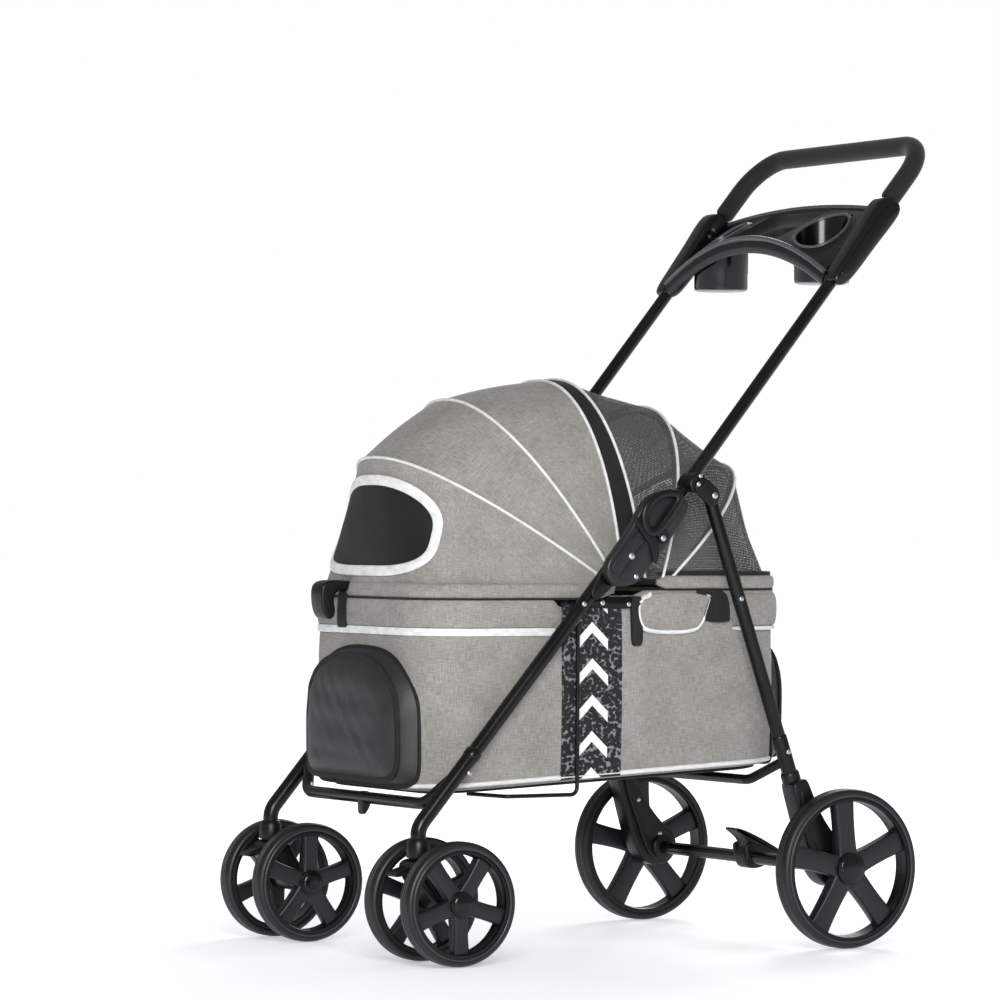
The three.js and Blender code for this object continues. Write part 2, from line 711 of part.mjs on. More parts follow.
const frontRimReach = FRONT_HUB[0] - BASKET.front;
const rearRimReach = BASKET.rear - REAR_HUB[0];
const frontRimHoop = { hub: FRONT_HUB, angle: 0.4, reach: frontRimReach };
const rearRimHoop = { hub: REAR_HUB, angle: 180, reach: rearRimReach };

// ---------------------------------------------------------------- assembly
for (const [sideName, side] of SIDES) {
  addPiece(`front_leg_${sideName}`, frontLeg(side), FRAME_BLACK);
  addPiece(`hinge_base_${sideName}`, hingeBase(side), FRAME_BLACK);
  addPiece(`support_wire_${sideName}`, supportWire(side), FRAME_BLACK);
  addPiece(`caster_socket_${sideName}`, casterSocket(side), PLASTIC_BLACK);
  addPiece(`caster_fork_${sideName}`, casterFork(side), PLASTIC_BLACK);
  for (const [place, way] of [["outer", 1], ["inner", -1]]) {
    const x = side * (CASTER.x + way * FRONT_WHEEL.offset);
    addWheel(`front_wheel_${sideName}_${place}`, FRONT_WHEEL, x, casterAxleY);
  }
  addPiece(`rear_leg_${sideName}`, rearLeg(side), FRAME_BLACK);
  addPiece(`rear_housing_${sideName}`, rearHousing(side), PLASTIC_BLACK);
  addWheel(`rear_wheel_${sideName}`, REAR_WHEEL, side * REAR_WHEEL.x, REAR_WHEEL.y);
  addPiece(`hinge_housing_${sideName}`, hingeHousing(side), PLASTIC_GREY);
  addPiece(`release_lever_${sideName}`, releaseLever(side), PLASTIC_GREY);
  addPiece(`hinge_pin_${sideName}`, hingePin(side), STEEL);
  addPiece(`leg_bracket_${sideName}`, legBracket(side), PLASTIC_BLACK);
  addPiece(`tray_wing_${sideName}`, trayWing(side), PLASTIC_BLACK);
}
addPiece("front_cross_tube", frontCrossTube(), FRAME_BLACK);
addPiece("rear_cross_tube", rearCrossTube(), FRAME_BLACK);
addPiece("rear_axle", rearAxle(), FRAME_BLACK);
addPiece("brake_pedal", brakePedal(), PLASTIC_BLACK);
addPiece("handle_tube", bentTube(handlePath(HANDLE_FOOT), HANDLE_RADIUS, 72, 8), FRAME_BLACK);
addPiece("handle_grip", bentTube(handlePath(GRIP_FOOT), GRIP_RADIUS, 30, 10, GRIP_BORE), FOAM);
addPiece("drink_tray", drinkTray(), PLASTIC_BLACK);
addPiece("rim_tube_front", rimTube(RIM.front), FRAME_BLACK);
addPiece("rim_tube_rear", rimTube(RIM.rear), FRAME_BLACK);
addPiece("basket_tub", basketTub(), GREY_CLOTH);
addPiece("floor_pad", floorPad(), GREY_CLOTH);
addPiece("front_window_panel", endPocket(BASKET.front - GAP, BASKET.front - 26, 128, 212, 374), MESH_CLOTH);
addPiece("rear_window_panel", endPocket(BASKET.rear + GAP, BASKET.rear + 30, 120, 232, 396), MESH_CLOTH);
addPiece("front_tab", frontTab(), PLASTIC_BLACK);
for (const name of ["front", "middle", "top", "back", "tail"]) {
  addPiece(`hoop_${name}`, hoopRod(HOOPS[name]), STEEL);
}
addPiece("hood_visor", hoodPanel([
  [frontRimHoop, HOOD.rimPower],
  [tilted(HOOPS.front, -SEAM), HOOD.power],
]), GREY_CLOTH);
addPiece("hood_panel_front", hoodPanel([
  [tilted(HOOPS.front, SEAM), HOOD.power],
  [tilted(HOOPS.middle, -SEAM), HOOD.power],
]), GREY_CLOTH);
addPiece("hood_panel_top", hoodPanel([
  [tilted(HOOPS.middle, SEAM), HOOD.power],
  [tilted(HOOPS.top, 0), HOOD.power],
]), GREY_CLOTH);
addPiece("hood_mesh_rear", hoodPanel([
  [HOOPS.crown, HOOD.power],
  [HOOPS.back, HOOD.power],
  [HOOPS.tail, HOOD.power],
  [rearRimHoop, HOOD.rimPower],
]), MESH_CLOTH);

// The origin is the middle of the footprint, on the ground.
const box = new THREE.Box3().setFromObject(stroller);
stroller.position.set(0, -(box.min.y + box.max.y) / 2, -box.min.z);

export default stroller;
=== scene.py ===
"""A folding pet stroller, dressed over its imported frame.

The frame gives the places: every outline below is in the maker's drawing millimetres, side view
(y, z) with y to the rear and z up, and place() moves it to the row frame in metres.
"""

from __future__ import annotations

import logging
import sys
from dataclasses import dataclass, field
from enum import Enum
from typing import Callable, Sequence

import bpy
import numpy as np
from mathutils import Matrix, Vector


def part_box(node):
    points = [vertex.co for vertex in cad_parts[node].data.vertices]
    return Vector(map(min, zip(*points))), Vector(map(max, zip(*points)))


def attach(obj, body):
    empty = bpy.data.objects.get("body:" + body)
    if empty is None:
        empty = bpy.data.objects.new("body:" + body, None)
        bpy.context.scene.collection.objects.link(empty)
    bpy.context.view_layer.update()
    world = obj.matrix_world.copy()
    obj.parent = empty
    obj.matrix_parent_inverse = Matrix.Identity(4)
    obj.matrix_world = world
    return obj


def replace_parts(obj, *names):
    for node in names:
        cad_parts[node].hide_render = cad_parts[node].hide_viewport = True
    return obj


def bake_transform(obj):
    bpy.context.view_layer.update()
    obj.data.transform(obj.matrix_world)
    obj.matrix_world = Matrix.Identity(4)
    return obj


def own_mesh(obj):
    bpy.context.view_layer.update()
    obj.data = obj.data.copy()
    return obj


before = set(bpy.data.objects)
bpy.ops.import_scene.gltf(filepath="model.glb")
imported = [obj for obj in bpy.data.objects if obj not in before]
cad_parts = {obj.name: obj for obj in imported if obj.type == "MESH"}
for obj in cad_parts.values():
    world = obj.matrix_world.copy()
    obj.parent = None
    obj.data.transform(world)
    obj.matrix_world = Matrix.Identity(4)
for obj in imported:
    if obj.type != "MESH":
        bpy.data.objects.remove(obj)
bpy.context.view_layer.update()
LOG = logging.getLogger("stroller")

Array = np.ndarray
SIDES = (("left", 1.0), ("right", -1.0))
X_AXIS = np.array([1.0, 0.0, 0.0])
Z_AXIS = np.array([0.0, 0.0, 1.0])

_AXLE_LOW, _AXLE_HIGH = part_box("rear_axle")
# The rear axle is 300 mm behind the drawing's zero, and the row frame is centred on the footprint.
ROW_SHIFT = np.array([0.0, 0.3 - (_AXLE_LOW.y + _AXLE_HIGH.y) / 2, 0.0])


def place(points: Array | Sequence) -> Array:
    """Drawing millimetres to metres in the row frame: divide by 1000, less the shift."""
    return np.asarray(points, float) / 1000.0 - ROW_SHIFT


# ------------------------------------------------------------------ surfaces
@dataclass
class Patch:
    """A closed surface: points, four-cornered faces with their flat pattern, and end caps."""

    points: Array
    quads: Array
    quad_uv: Array
    caps: list[Array] = field(default_factory=list)

    def outward(self) -> Patch:
        """The same surface with its faces outwards: the sum of p0 . (p1 x p2) is positive."""
        fans = [self.quads[:, [0, 1, 2]], self.quads[:, [0, 2, 3]]]
        for cap in self.caps:
            first = np.full(len(cap) - 2, cap[0])
            fans.append(np.stack([first, cap[1:-1], cap[2:]], axis=1))
        corners = self.points[np.concatenate(fans)] - self.points.mean(axis=0)
        volume = np.einsum("ij,ij->i", corners[:, 0], np.cross(corners[:, 1], corners[:, 2])).sum()
        if volume < 0:
            self.quads = self.quads[:, ::-1]
            self.quad_uv = self.quad_uv[:, ::-1]
            self.caps = [cap[::-1] for cap in self.caps]
        return self


def flat_pattern(grid: Array, wrap_rows: bool, wrap_columns: bool) -> Array:
    """Cloth lengths in metres: v runs down the rows and u along the columns, by mean step."""
    rows = np.concatenate([grid, grid[:1]]) if wrap_rows else grid
    full = np.concatenate([rows, rows[:, :1]], axis=1) if wrap_columns else rows
    down = np.linalg.norm(np.diff(full, axis=0), axis=2).mean(axis=1)
    along = np.linalg.norm(np.diff(full, axis=1), axis=2).max(axis=0)
    v = np.concatenate([[0.0], np.cumsum(down)])
    u = np.concatenate([[0.0], np.cumsum(along)])
    return np.stack(np.meshgrid(u, v), axis=2)


def grid_quads(shape: tuple[int, int], wrap_rows: bool, wrap_columns: bool, uv: Array) -> tuple[Array, Array]:
    """Faces of a grid in the order (i, j), (i, j+1), (i+1, j+1), (i+1, j), and their patterns."""
    rows, columns = shape
    i, j = np.meshgrid(
        np.arange(rows if wrap_rows else rows - 1),
        np.arange(columns if wrap_columns else columns - 1),
        indexing="ij",
    )
    i, j = i.ravel(), j.ravel()
    corners = [(i, j), (i, j + 1), (i + 1, j + 1), (i + 1, j)]
    quads = np.stack([(a % rows) * columns + b % columns for a, b in corners], axis=1)
    return quads, np.stack([uv[a, b] for a, b in corners], axis=1)


def ring_patch(grid: Array, wrap_rows: bool = False, uv: Array | None = None) -> Patch:
    """Loops of points joined into a tube with flat end caps, or into a ring where rows wrap."""
    pattern = flat_pattern(grid, wrap_rows, True) if uv is None else uv
    rows, columns = grid.shape[:2]
    quads, quad_uv = grid_quads((rows, columns), wrap_rows, True, pattern)
    ends = [] if wrap_rows else [np.arange(columns)[::-1], (rows - 1) * columns + np.arange(columns)]
    return Patch(grid.reshape(-1, 3), quads, quad_uv, ends).outward()


def shell_patch(
    grid: Array, thickness: float, centre: Array, wrap_columns: bool = False, uv: Array | None = None, pole: int | None = None
) -> Patch:
    """A sheet of cloth with thickness: a grid, its copy pushed towards the centre along the
    normals (row step x column step), and strips that close the edges.

    Args:
        grid: points in metres, rows by columns by 3.
        thickness: distance between the two faces, metres.
        centre: a point on the inner side.
        wrap_columns: joins the last column to the first.
        uv: cloth lengths at each point, or None to work them out.
        pole: the row, 0 or -1, that is a small ring to be closed with a disc on both faces.

    Returns:
        The closed surface.
    """
    pattern = flat_pattern(grid, False, wrap_columns) if uv is None else uv
    rows, columns = grid.shape[:2]
    padded = np.concatenate([grid[:, -1:], grid, grid[:, :1]], axis=1) if wrap_columns else grid
    across = np.gradient(padded, axis=1)[:, 1:-1] if wrap_columns else np.gradient(grid, axis=1)
    normal = np.cross(np.gradient(grid, axis=0), across)
    normal /= np.maximum(np.linalg.norm(normal, axis=2, keepdims=True), 1e-12)
    if (normal * (grid - centre)).sum() < 0:
        normal = -normal
    inner = grid - thickness * normal
    quads, quad_uv = grid_quads((rows, columns), False, wrap_columns, pattern)
    step = rows * columns
    faces = [quads, quads[:, ::-1] + step]
    patterns = [quad_uv, quad_uv[:, ::-1]]
    here = quads.reshape(rows - 1, -1, 4)
    flat = quad_uv.reshape(rows - 1, here.shape[1], 4, 2)
    edges = [] if pole == 0 else [(here[0], flat[0], (1, 0))]
    edges += [] if pole == -1 else [(here[-1], flat[-1], (3, 2))]
    if not wrap_columns:
        edges += [(here[:, 0], flat[:, 0], (0, 3)), (here[:, -1], flat[:, -1], (2, 1))]
    for quad, corner, (a, b) in edges:
        faces.append(np.stack([quad[:, a], quad[:, b], quad[:, b] + step, quad[:, a] + step], axis=1))
        patterns.append(np.stack([corner[:, a], corner[:, b], corner[:, b], corner[:, a]], axis=1))
    ring = np.arange(columns)
    discs = {None: [], 0: [ring[::-1], ring + step], -1: [ring + step - columns, ring[::-1] + 2 * step - columns]}[pole]
    points = np.concatenate([grid.reshape(-1, 3), inner.reshape(-1, 3)])
    return Patch(points, np.concatenate(faces), np.concatenate(patterns), discs).outward()


def make_piece(name: str, patches: Sequence[Patch], sharp_degrees: float = 40.0) -> bpy.types.Object:
    """One object from closed surfaces, smooth but for edges sharper than the angle.

    Args:
        name: the object's name.
        patches: the closed surfaces that it holds.
        sharp_degrees: edges that turn more than this stay crisp.

    Returns:
        The object, linked to the scene and at the origin.
    """
    points, faces, uvs, start = [], [], [], 0
    for patch in patches:
        points.append(patch.points)
        faces += (patch.quads + start).tolist()
        uvs.append(patch.quad_uv.reshape(-1, 2))
        for cap in patch.caps:
            faces.append((cap + start).tolist())
            flat = patch.points[cap]
            drop = int(np.argmin(np.ptp(flat, axis=0)))
            uvs.append(np.delete(flat, drop, axis=1))
        start += len(patch.points)
    mesh = bpy.data.meshes.new(name)
    mesh.from_pydata(np.concatenate(points).tolist(), [], faces)
    layer = mesh.uv_layers.new(name="Pattern")
    layer.data.foreach_set("uv", np.concatenate(uvs).astype(np.float32).ravel())
    mesh.validate()
    mesh.shade_smooth()
    mesh.set_sharp_from_angle(angle=np.radians(sharp_degrees))
    piece = bpy.data.objects.new(name, mesh)
    bpy.context.scene.collection.objects.link(piece)
    return piece


def rounded_path(points: Sequence, radius: float, steps: int = 8) -> Array:
    """Straight runs joined by arcs: the bend starts radius / tan(half angle) before the corner."""
    corners = np.asarray(points, float)
    path = [corners[:1]]
    for before, corner, after in zip(corners[:-2], corners[1:-1], corners[2:]):
        a = (before - corner) / np.linalg.norm(before - corner)
        b = (after - corner) / np.linalg.norm(after - corner)
        half = np.arccos(np.clip(a @ b, -1, 1)) / 2
        middle = (a + b) / np.linalg.norm(a + b)
        centre = corner + middle * radius / np.sin(half)
        sweep = np.linspace(-1, 1, steps + 1)[:, None] * (np.pi / 2 - half)
        sideways = (b - a) / np.linalg.norm(b - a)
        path.append(centre + radius * (-middle * np.cos(sweep) + sideways * np.sin(sweep)))
    path.append(corners[-1:])
    return np.concatenate(path)


def resample(path: Array, count: int, closed: bool = False) -> Array:
    """The same line with evenly spaced points, by linear steps along its length."""
    line = np.concatenate([path, path[:1]]) if closed else path
    length = np.concatenate([[0.0], np.cumsum(np.linalg.norm(np.diff(line, axis=0), axis=1))])
    at = np.linspace(0, length[-1], count, endpoint=not closed)
    return np.stack([np.interp(at, length, line[:, k]) for k in range(line.shape[1])], axis=1)


def smooth_outline(outline: Sequence, rounds: int = 3, count: int = 96) -> Array:
    """A closed outline with its corners cut at a quarter and three quarters of each side."""
    line = np.asarray(outline, float)
    for _ in range(rounds):
        after = np.roll(line, -1, axis=0)
        line = np.stack([0.75 * line + 0.25 * after, 0.25 * line + 0.75 * after], axis=1).reshape(-1, line.shape[1])
    return resample(line, count, closed=True)


def circle_profile(radius: float, sides: int = 20, flatten: float = 1.0) -> Array:
    """(out, up) points of a circle, or an ellipse where flatten isn't one."""
    angle = np.linspace(0, 2 * np.pi, sides, endpoint=False)
    return np.stack([radius * np.cos(angle), radius * flatten * np.sin(angle)], axis=1)


def carry(
    path: Array,
    side: Array,
    profile: Array,
    scale: Array | None = None,
    closed: bool = False,
) -> Patch:
    """A profile carried along a path: point + out * side + up * (tangent x side).

    Args:
        path: points in metres.
        side: one vector or one per point that the profile's first axis follows.
        profile: (out, up) points in millimetres, a closed loop.
        scale: how large the profile is at each point.
        closed: True where the path is a loop.

    Returns:
        The tube or ring that it leaves.
    """
    if closed:
        tangent = np.roll(path, -1, axis=0) - np.roll(path, 1, axis=0)
    else:
        tangent = np.gradient(path, axis=0)
    tangent /= np.linalg.norm(tangent, axis=1, keepdims=True)
    side = np.broadcast_to(side, path.shape)
    side = side - (side * tangent).sum(axis=1, keepdims=True) * tangent
    side = side / np.linalg.norm(side, axis=1, keepdims=True)
    up = np.cross(tangent, side)
    size = np.ones(len(path)) if scale is None else scale
    out = profile[None, :, :] / 1000.0 * size[:, None, None]
    grid = path[:, None] + out[..., :1] * side[:, None] + out[..., 1:] * up[:, None]
    return ring_patch(grid, wrap_rows=closed)


def tube(
    points: Sequence,
    radius: float,
    bend: float = 0.0,
    side: Array = X_AXIS,
    sides: int = 20,
    soft_ends: bool = False,
) -> Patch:
    """A round tube of drawing millimetres along straight runs and bends.

    Args:
        points: the corners of its centre line.
        radius: of the tube.
        bend: centre-line radius of its bends.
        side: any vector that the line never runs along.
        sides: facets round it.
        soft_ends: True where both ends are rounded over, by a quarter circle.

    Returns:
        The tube.
    """
    path = rounded_path(points, bend, 12) if bend else np.asarray(points, float)
    if soft_ends:
        run = np.sin(np.linspace(0, np.pi / 2, 5))
        first = (path[1] - path[0]) / np.linalg.norm(path[1] - path[0])
        last = (path[-2] - path[-1]) / np.linalg.norm(path[-2] - path[-1])
        rise = radius * 0.5 * (1 - np.cos(np.linspace(0, np.pi / 2, 5)))[:, None]
        path = np.concatenate([path[0] + first * rise, path[1:-1], (path[-1] + last * rise)[::-1]])
        scale = np.concatenate([0.6 + 0.4 * run, np.ones(len(path) - 10), (0.6 + 0.4 * run)[::-1]])
        return carry(place(path), side, circle_profile(radius, sides), scale)
    return carry(place(path), side, circle_profile(radius, sides))


def turned(
    profile: Sequence,
    centre: Sequence,
    axis: Array = X_AXIS,
    segments: int = 64,
    ring: bool = False,
) -> Patch:
    """A shape turned on a lathe: (radius, along) points in millimetres swept round the axis."""
    section = np.asarray(profile, float) / 1000.0
    angle = np.linspace(0, 2 * np.pi, segments, endpoint=False)
    start = np.array([0.0, 0.0, 1.0]) if abs(axis[2]) < 0.9 else X_AXIS
    first = start - (start @ axis) * axis
    first /= np.linalg.norm(first)
    second = np.cross(axis, first)
    around = np.cos(angle)[:, None] * first + np.sin(angle)[:, None] * second
    grid = place(centre) + section[:, None, :1] * around[None] + section[:, None, 1:] * axis
    return ring_patch(grid, wrap_rows=ring)


def plate(
    outline: Sequence,
    x0: float,
    x1: float,
    bevel: float = 1.5,
    rounds: int = 3,
    count: int = 96,
) -> Patch:
    """A moulded plate: a side-view outline from x0 to x1 with quarter-round edges."""
    loop = smooth_outline(outline, rounds, count)
    tangent = np.roll(loop, -1, axis=0) - np.roll(loop, 1, axis=0)
    tangent /= np.maximum(np.linalg.norm(tangent, axis=1, keepdims=True), 1e-9)
    normal = np.stack([tangent[:, 1], -tangent[:, 0]], axis=1)
    area = (loop[:, 0] * np.roll(loop[:, 1], -1) - loop[:, 1] * np.roll(loop[:, 0], -1)).sum()
    normal *= np.sign(area)
    low, high = min(x0, x1), max(x0, x1)
    bevel = min(bevel, (high - low) / 2.05)
    turn = np.linspace(0, np.pi / 2, 5)
    inset = np.concatenate([bevel * (1 - np.sin(turn)), bevel * (1 - np.sin(turn[::-1]))])
    depth = np.concatenate([low + bevel * (1 - np.cos(turn)), high - bevel * (1 - np.cos(turn[::-1]))])
    flat = loop[None] - inset[:, None, None] * normal[None]
    x = np.broadcast_to(depth[:, None, None], flat.shape[:2] + (1,))
    return ring_patch(place(np.concatenate([x, flat], axis=2)))


def rivet(x: float, y: float, z: float, radius: float = 3.4, height: float = 1.8, side: float = 1.0) -> Patch:
    """A domed head that stands on a face square to X: r falls as the cosine of the rise."""
    turn = np.linspace(0, np.pi / 2 * 0.94, 6)
    profile = [(radius, -0.8)] + list(zip(radius * np.cos(turn), height * np.sin(turn)))
    return turned(profile, (x, y, z), X_AXIS * side, 20)


def cloth_noise(points: Array, size: float, depth: float, seed: float) -> Array:
    """Soft creases: a sum of five sine waves of falling length whose directions are fixed by seed.

    Args:
        points: places in metres.
        size: the longest wave, in millimetres.
        depth: the largest swing, in millimetres.
        seed: picks the directions.

    Returns:
        A swing for each point, in metres.
    """
    total = np.zeros(points.shape[:-1])
    for octave in range(5):
        turn = seed * 1.7 + octave * 2.399
        direction = np.array([np.cos(turn), np.sin(turn * 1.3), np.sin(turn)])
        wave = 2 * np.pi / (size / 1000.0 / 1.6**octave)
        total += np.sin(points @ direction * wave + turn * 5.0) / 1.7**octave
    return total * depth / 1000.0 / 2.2


# ------------------------------------------------------------------ finishes
def linear(colour: str) -> tuple[float, float, float, float]:
    """An sRGB hex colour as linear light: c / 12.92, or ((c + 0.055) / 1.055) ** 2.4."""
    value = np.array([int(colour[k : k + 2], 16) / 255.0 for k in (1, 3, 5)])
    lit = np.where(value <= 0.04045, value / 12.92, ((value + 0.055) / 1.055) ** 2.4)
    return (float(lit[0]), float(lit[1]), float(lit[2]), 1.0)


def add_node(
    material: bpy.types.Material,
    kind: str,
    settings: dict | None = None,
    links: dict | None = None,
) -> bpy.types.Node:
    """Adds a node. Settings are its own options or input values, and links feed its inputs."""
    node = material.node_tree.nodes.new("ShaderNode" + kind)
    for key, value in (settings or {}).items():
        if isinstance(key, str) and hasattr(node, key):
            setattr(node, key, value)
        else:
            node.inputs[key].default_value = value
    for key, socket in (links or {}).items():
        material.node_tree.links.new(socket, node.inputs[key])
    return node


def ramp(
    material: bpy.types.Material,
    socket: bpy.types.NodeSocket,
    stops: Sequence[tuple[float, str]],
) -> bpy.types.NodeSocket:
    """Hex colours at places from 0 to 1, read by a factor."""
    node = add_node(material, "ValToRGB", links={"Fac": socket})
    elements = node.color_ramp.elements
    elements[0].position, elements[0].color = stops[0][0], linear(stops[0][1])
    elements[1].position, elements[1].color = stops[-1][0], linear(stops[-1][1])
    for position, colour in stops[1:-1]:
        elements.new(position).color = linear(colour)
    return node.outputs["Color"]


@dataclass(frozen=True)
class Finish:
    """A finish: what it is, its record slot and the numbers of its shader."""

    name: str
    slot: str
    colour: str
    roughness: float
    metallic: float = 0.0
    ior: float = 1.5
    coat: float = 0.0
    sheen: float = 0.0

    def start(self) -> tuple[bpy.types.Material, bpy.types.Node]:
        """A new material with its shader's own numbers set."""
        material = bpy.data.materials.new(self.name)
        material.use_nodes = True
        shader = material.node_tree.nodes["Principled BSDF"]
        shader.inputs["Base Color"].default_value = linear(self.colour)
        shader.inputs["Roughness"].default_value = self.roughness
        shader.inputs["Metallic"].default_value = self.metallic
        shader.inputs["IOR"].default_value = self.ior
        shader.inputs["Coat Weight"].default_value = self.coat
        shader.inputs["Coat Roughness"].default_value = 0.12
        shader.inputs["Sheen Weight"].default_value = self.sheen
        shader.inputs["Sheen Roughness"].default_value = 0.45
        return material, shader

    def build(self) -> bpy.types.Material:
        """The material, with no more than its numbers."""
        return self.start()[0]

    def link(
        self,
        material: bpy.types.Material,
        shader: bpy.types.Node,
        name: str,
        socket: bpy.types.NodeSocket,
    ) -> None:
        """Feeds one of the shader's inputs."""
        material.node_tree.links.new(socket, shader.inputs[name])

    def bump(
        self,
        material: bpy.types.Material,
        shader: bpy.types.Node,
        height: bpy.types.NodeSocket,
        distance: float,
        strength: float,
    ) -> None:
        """A bump of that depth in metres."""
        node = add_node(material, "Bump", {"Distance": distance, "Strength": strength}, {"Height": height})
        self.link(material, shader, "Normal", node.outputs["Normal"])


@dataclass(frozen=True)
class Moulding(Finish):
    """Injection-moulded or powder-coated: a fine grain in height and a slow drift in gloss."""

    grain_mm: float = 0.6
    depth_mm: float = 0.03
    second: str = "#000000"
    drift: float = 0.12

    def build(self) -> bpy.types.Material:
        """Grain from a fine noise on Object coordinates, wear as a lighter colour on its peaks."""
        material, shader = self.start()
        place_node = add_node(material, "TexCoord")
        grain = add_node(material, "TexNoise", {"Scale": 1000.0 / self.grain_mm / 6.0, "Detail": 3.0}, {"Vector": place_node.outputs["Object"]})
        cloud = add_node(material, "TexNoise", {"Scale": 14.0, "Detail": 4.0}, {"Vector": place_node.outputs["Object"]})
        colour = ramp(material, cloud.outputs["Fac"], [(0.3, self.colour), (0.75, self.second)])
        self.link(material, shader, "Base Color", colour)
        gloss = add_node(
            material,
            "MapRange",
            {"From Min": 0.3, "From Max": 0.7, "To Min": self.roughness - self.drift / 2, "To Max": self.roughness + self.drift / 2},
            {"Value": cloud.outputs["Fac"]},
        )
        self.link(material, shader, "Roughness", gloss.outputs["Result"])
        self.bump(material, shader, grain.outputs["Fac"], self.depth_mm / 1000.0, 0.6)
        return material


@dataclass(frozen=True)
class Melange(Finish):
    """Plain-woven melange polyester: pale and dark threads with slubs, a linen look."""

    pale: str = "#aeaba7"
    dark: str = "#74716d"
    thread_mm: float = 0.9
    depth_mm: float = 0.18

    def build(self) -> bpy.types.Material:
        """Warp and weft are noise drawn out 14 times along each thread on the piece's own pattern.

        Real threads are 0.4 mm apart, and are drawn at 0.9 mm so that they show.
        """
        material, shader = self.start()
        pattern = add_node(material, "UVMap", {"uv_map": "Pattern"})
        pitch = 1000.0 / self.thread_mm
        threads = []
        for stretch in ((pitch / 14, pitch, 1.0), (pitch, pitch / 14, 1.0)):
            spread = add_node(material, "Mapping", {"Scale": stretch}, {"Vector": pattern.outputs["UV"]})
            threads.append(add_node(material, "TexNoise", {"Scale": 1.0, "Detail": 2.0, "Roughness": 0.6}, {"Vector": spread.outputs["Vector"]}))
        both = add_node(material, "Math", {"operation": "ADD"}, {0: threads[0].outputs["Fac"], 1: threads[1].outputs["Fac"]})
        half = add_node(material, "Math", {"operation": "MULTIPLY", 1: 0.5}, {0: both.outputs["Value"]})
        body = ramp(material, half.outputs["Value"], [(0.32, self.dark), (0.5, self.colour), (0.68, self.pale)])
        cloud = add_node(material, "TexNoise", {"Scale": 22.0, "Detail": 5.0}, {"Vector": pattern.outputs["UV"]})
        shade = ramp(material, cloud.outputs["Fac"], [(0.25, "#e3e1de"), (0.75, "#ffffff")])
        mixed = add_node(material, "Mix", {"data_type": "RGBA", "blend_type": "MULTIPLY"})
        mixed.inputs["Factor"].default_value = 1.0
        material.node_tree.links.new(body, mixed.inputs[6])
        material.node_tree.links.new(shade, mixed.inputs[7])
        self.link(material, shader, "Base Color", mixed.outputs[2])
        self.bump(material, shader, half.outputs["Value"], self.depth_mm / 1000.0, 0.7)
        return material


@dataclass(frozen=True)
class OpenMesh(Finish):
    """Warp-knitted polyester mesh: round holes in a hexagon net that let some light through."""

    hole_mm: float = 2.4
    open_share: float = 0.3
    dent_mm: float = 0.2

    def build(self) -> bpy.types.Material:
        """Holes are where a Voronoi cell's centre is near. Real ones are 1 mm and are drawn larger."""
        material, shader = self.start()
        pattern = add_node(material, "UVMap", {"uv_map": "Pattern"})
        cells = add_node(material, "TexVoronoi", {"Scale": 1000.0 / self.hole_mm, "Randomness": 0.15}, {"Vector": pattern.outputs["UV"]})
        cloth = add_node(
            material,
            "MapRange",
            {"From Min": 0.25, "From Max": 0.5, "To Min": 1.0 - self.open_share * 2.0, "To Max": 1.0},
            {"Value": cells.outputs["Distance"]},
        )
        self.link(material, shader, "Alpha", cloth.outputs["Result"])
        tint = ramp(material, cells.outputs["Distance"], [(0.1, "#0d0d0d"), (0.6, self.colour)])
        self.link(material, shader, "Base Color", tint)
        self.bump(material, shader, cells.outputs["Distance"], self.dent_mm / 1000.0, 0.5)
        return material


@dataclass(frozen=True)
class Webbing(Finish):
    """Jacquard webbing: twill ribs with a pale row of chevrons between flecked edges."""

    pale: str = "#e9e9e6"
    fleck: str = "#7d8084"

    def build(self) -> bpy.types.Material:
        """Chevrons are bands of frac(v / pitch + |u - 1/2| * slope), kept to the middle lane."""
        material, shader = self.start()
        pattern = add_node(material, "UVMap", {"uv_map": "Pattern"})
        split = add_node(material, "SeparateXYZ", links={"Vector": pattern.outputs["UV"]})
        u, v = split.outputs["X"], split.outputs["Y"]
        off = add_node(material, "Math", {"operation": "SUBTRACT", 1: 0.042}, {0: u})
        wide = add_node(material, "Math", {"operation": "ABSOLUTE"}, {0: off.outputs["Value"]})
        rise = add_node(material, "Math", {"operation": "MULTIPLY_ADD", 1: 21.0, 2: 0.0}, {0: v})
        slope = add_node(material, "Math", {"operation": "MULTIPLY_ADD", 1: 22.0}, {0: wide.outputs["Value"], 2: rise.outputs["Value"]})
        turn = add_node(material, "Math", {"operation": "FRACT"}, {0: slope.outputs["Value"]})
        bar = add_node(material, "Math", {"operation": "LESS_THAN", 1: 0.3}, {0: turn.outputs["Value"]})
        lane = add_node(material, "Math", {"operation": "LESS_THAN", 1: 0.022}, {0: wide.outputs["Value"]})
        mark = add_node(material, "Math", {"operation": "MULTIPLY"}, {0: bar.outputs["Value"], 1: lane.outputs["Value"]})
        flecks = add_node(material, "TexVoronoi", {"Scale": 230.0}, {"Vector": pattern.outputs["UV"]})
        ground = ramp(material, flecks.outputs["Distance"], [(0.62, self.colour), (0.8, self.fleck)])
        mixed = add_node(material, "Mix", {"data_type": "RGBA"}, {"Factor": mark.outputs["Value"]})
        material.node_tree.links.new(ground, mixed.inputs[6])
        mixed.inputs[7].default_value = linear(self.pale)
        self.link(material, shader, "Base Color", mixed.outputs[2])
        ribs = add_node(material, "TexWave", {"Scale": 160.0, "Distortion": 0.4, "bands_direction": "Y"}, {"Vector": pattern.outputs["UV"]})
        self.bump(material, shader, ribs.outputs["Fac"], 0.0004, 0.6)
        return material


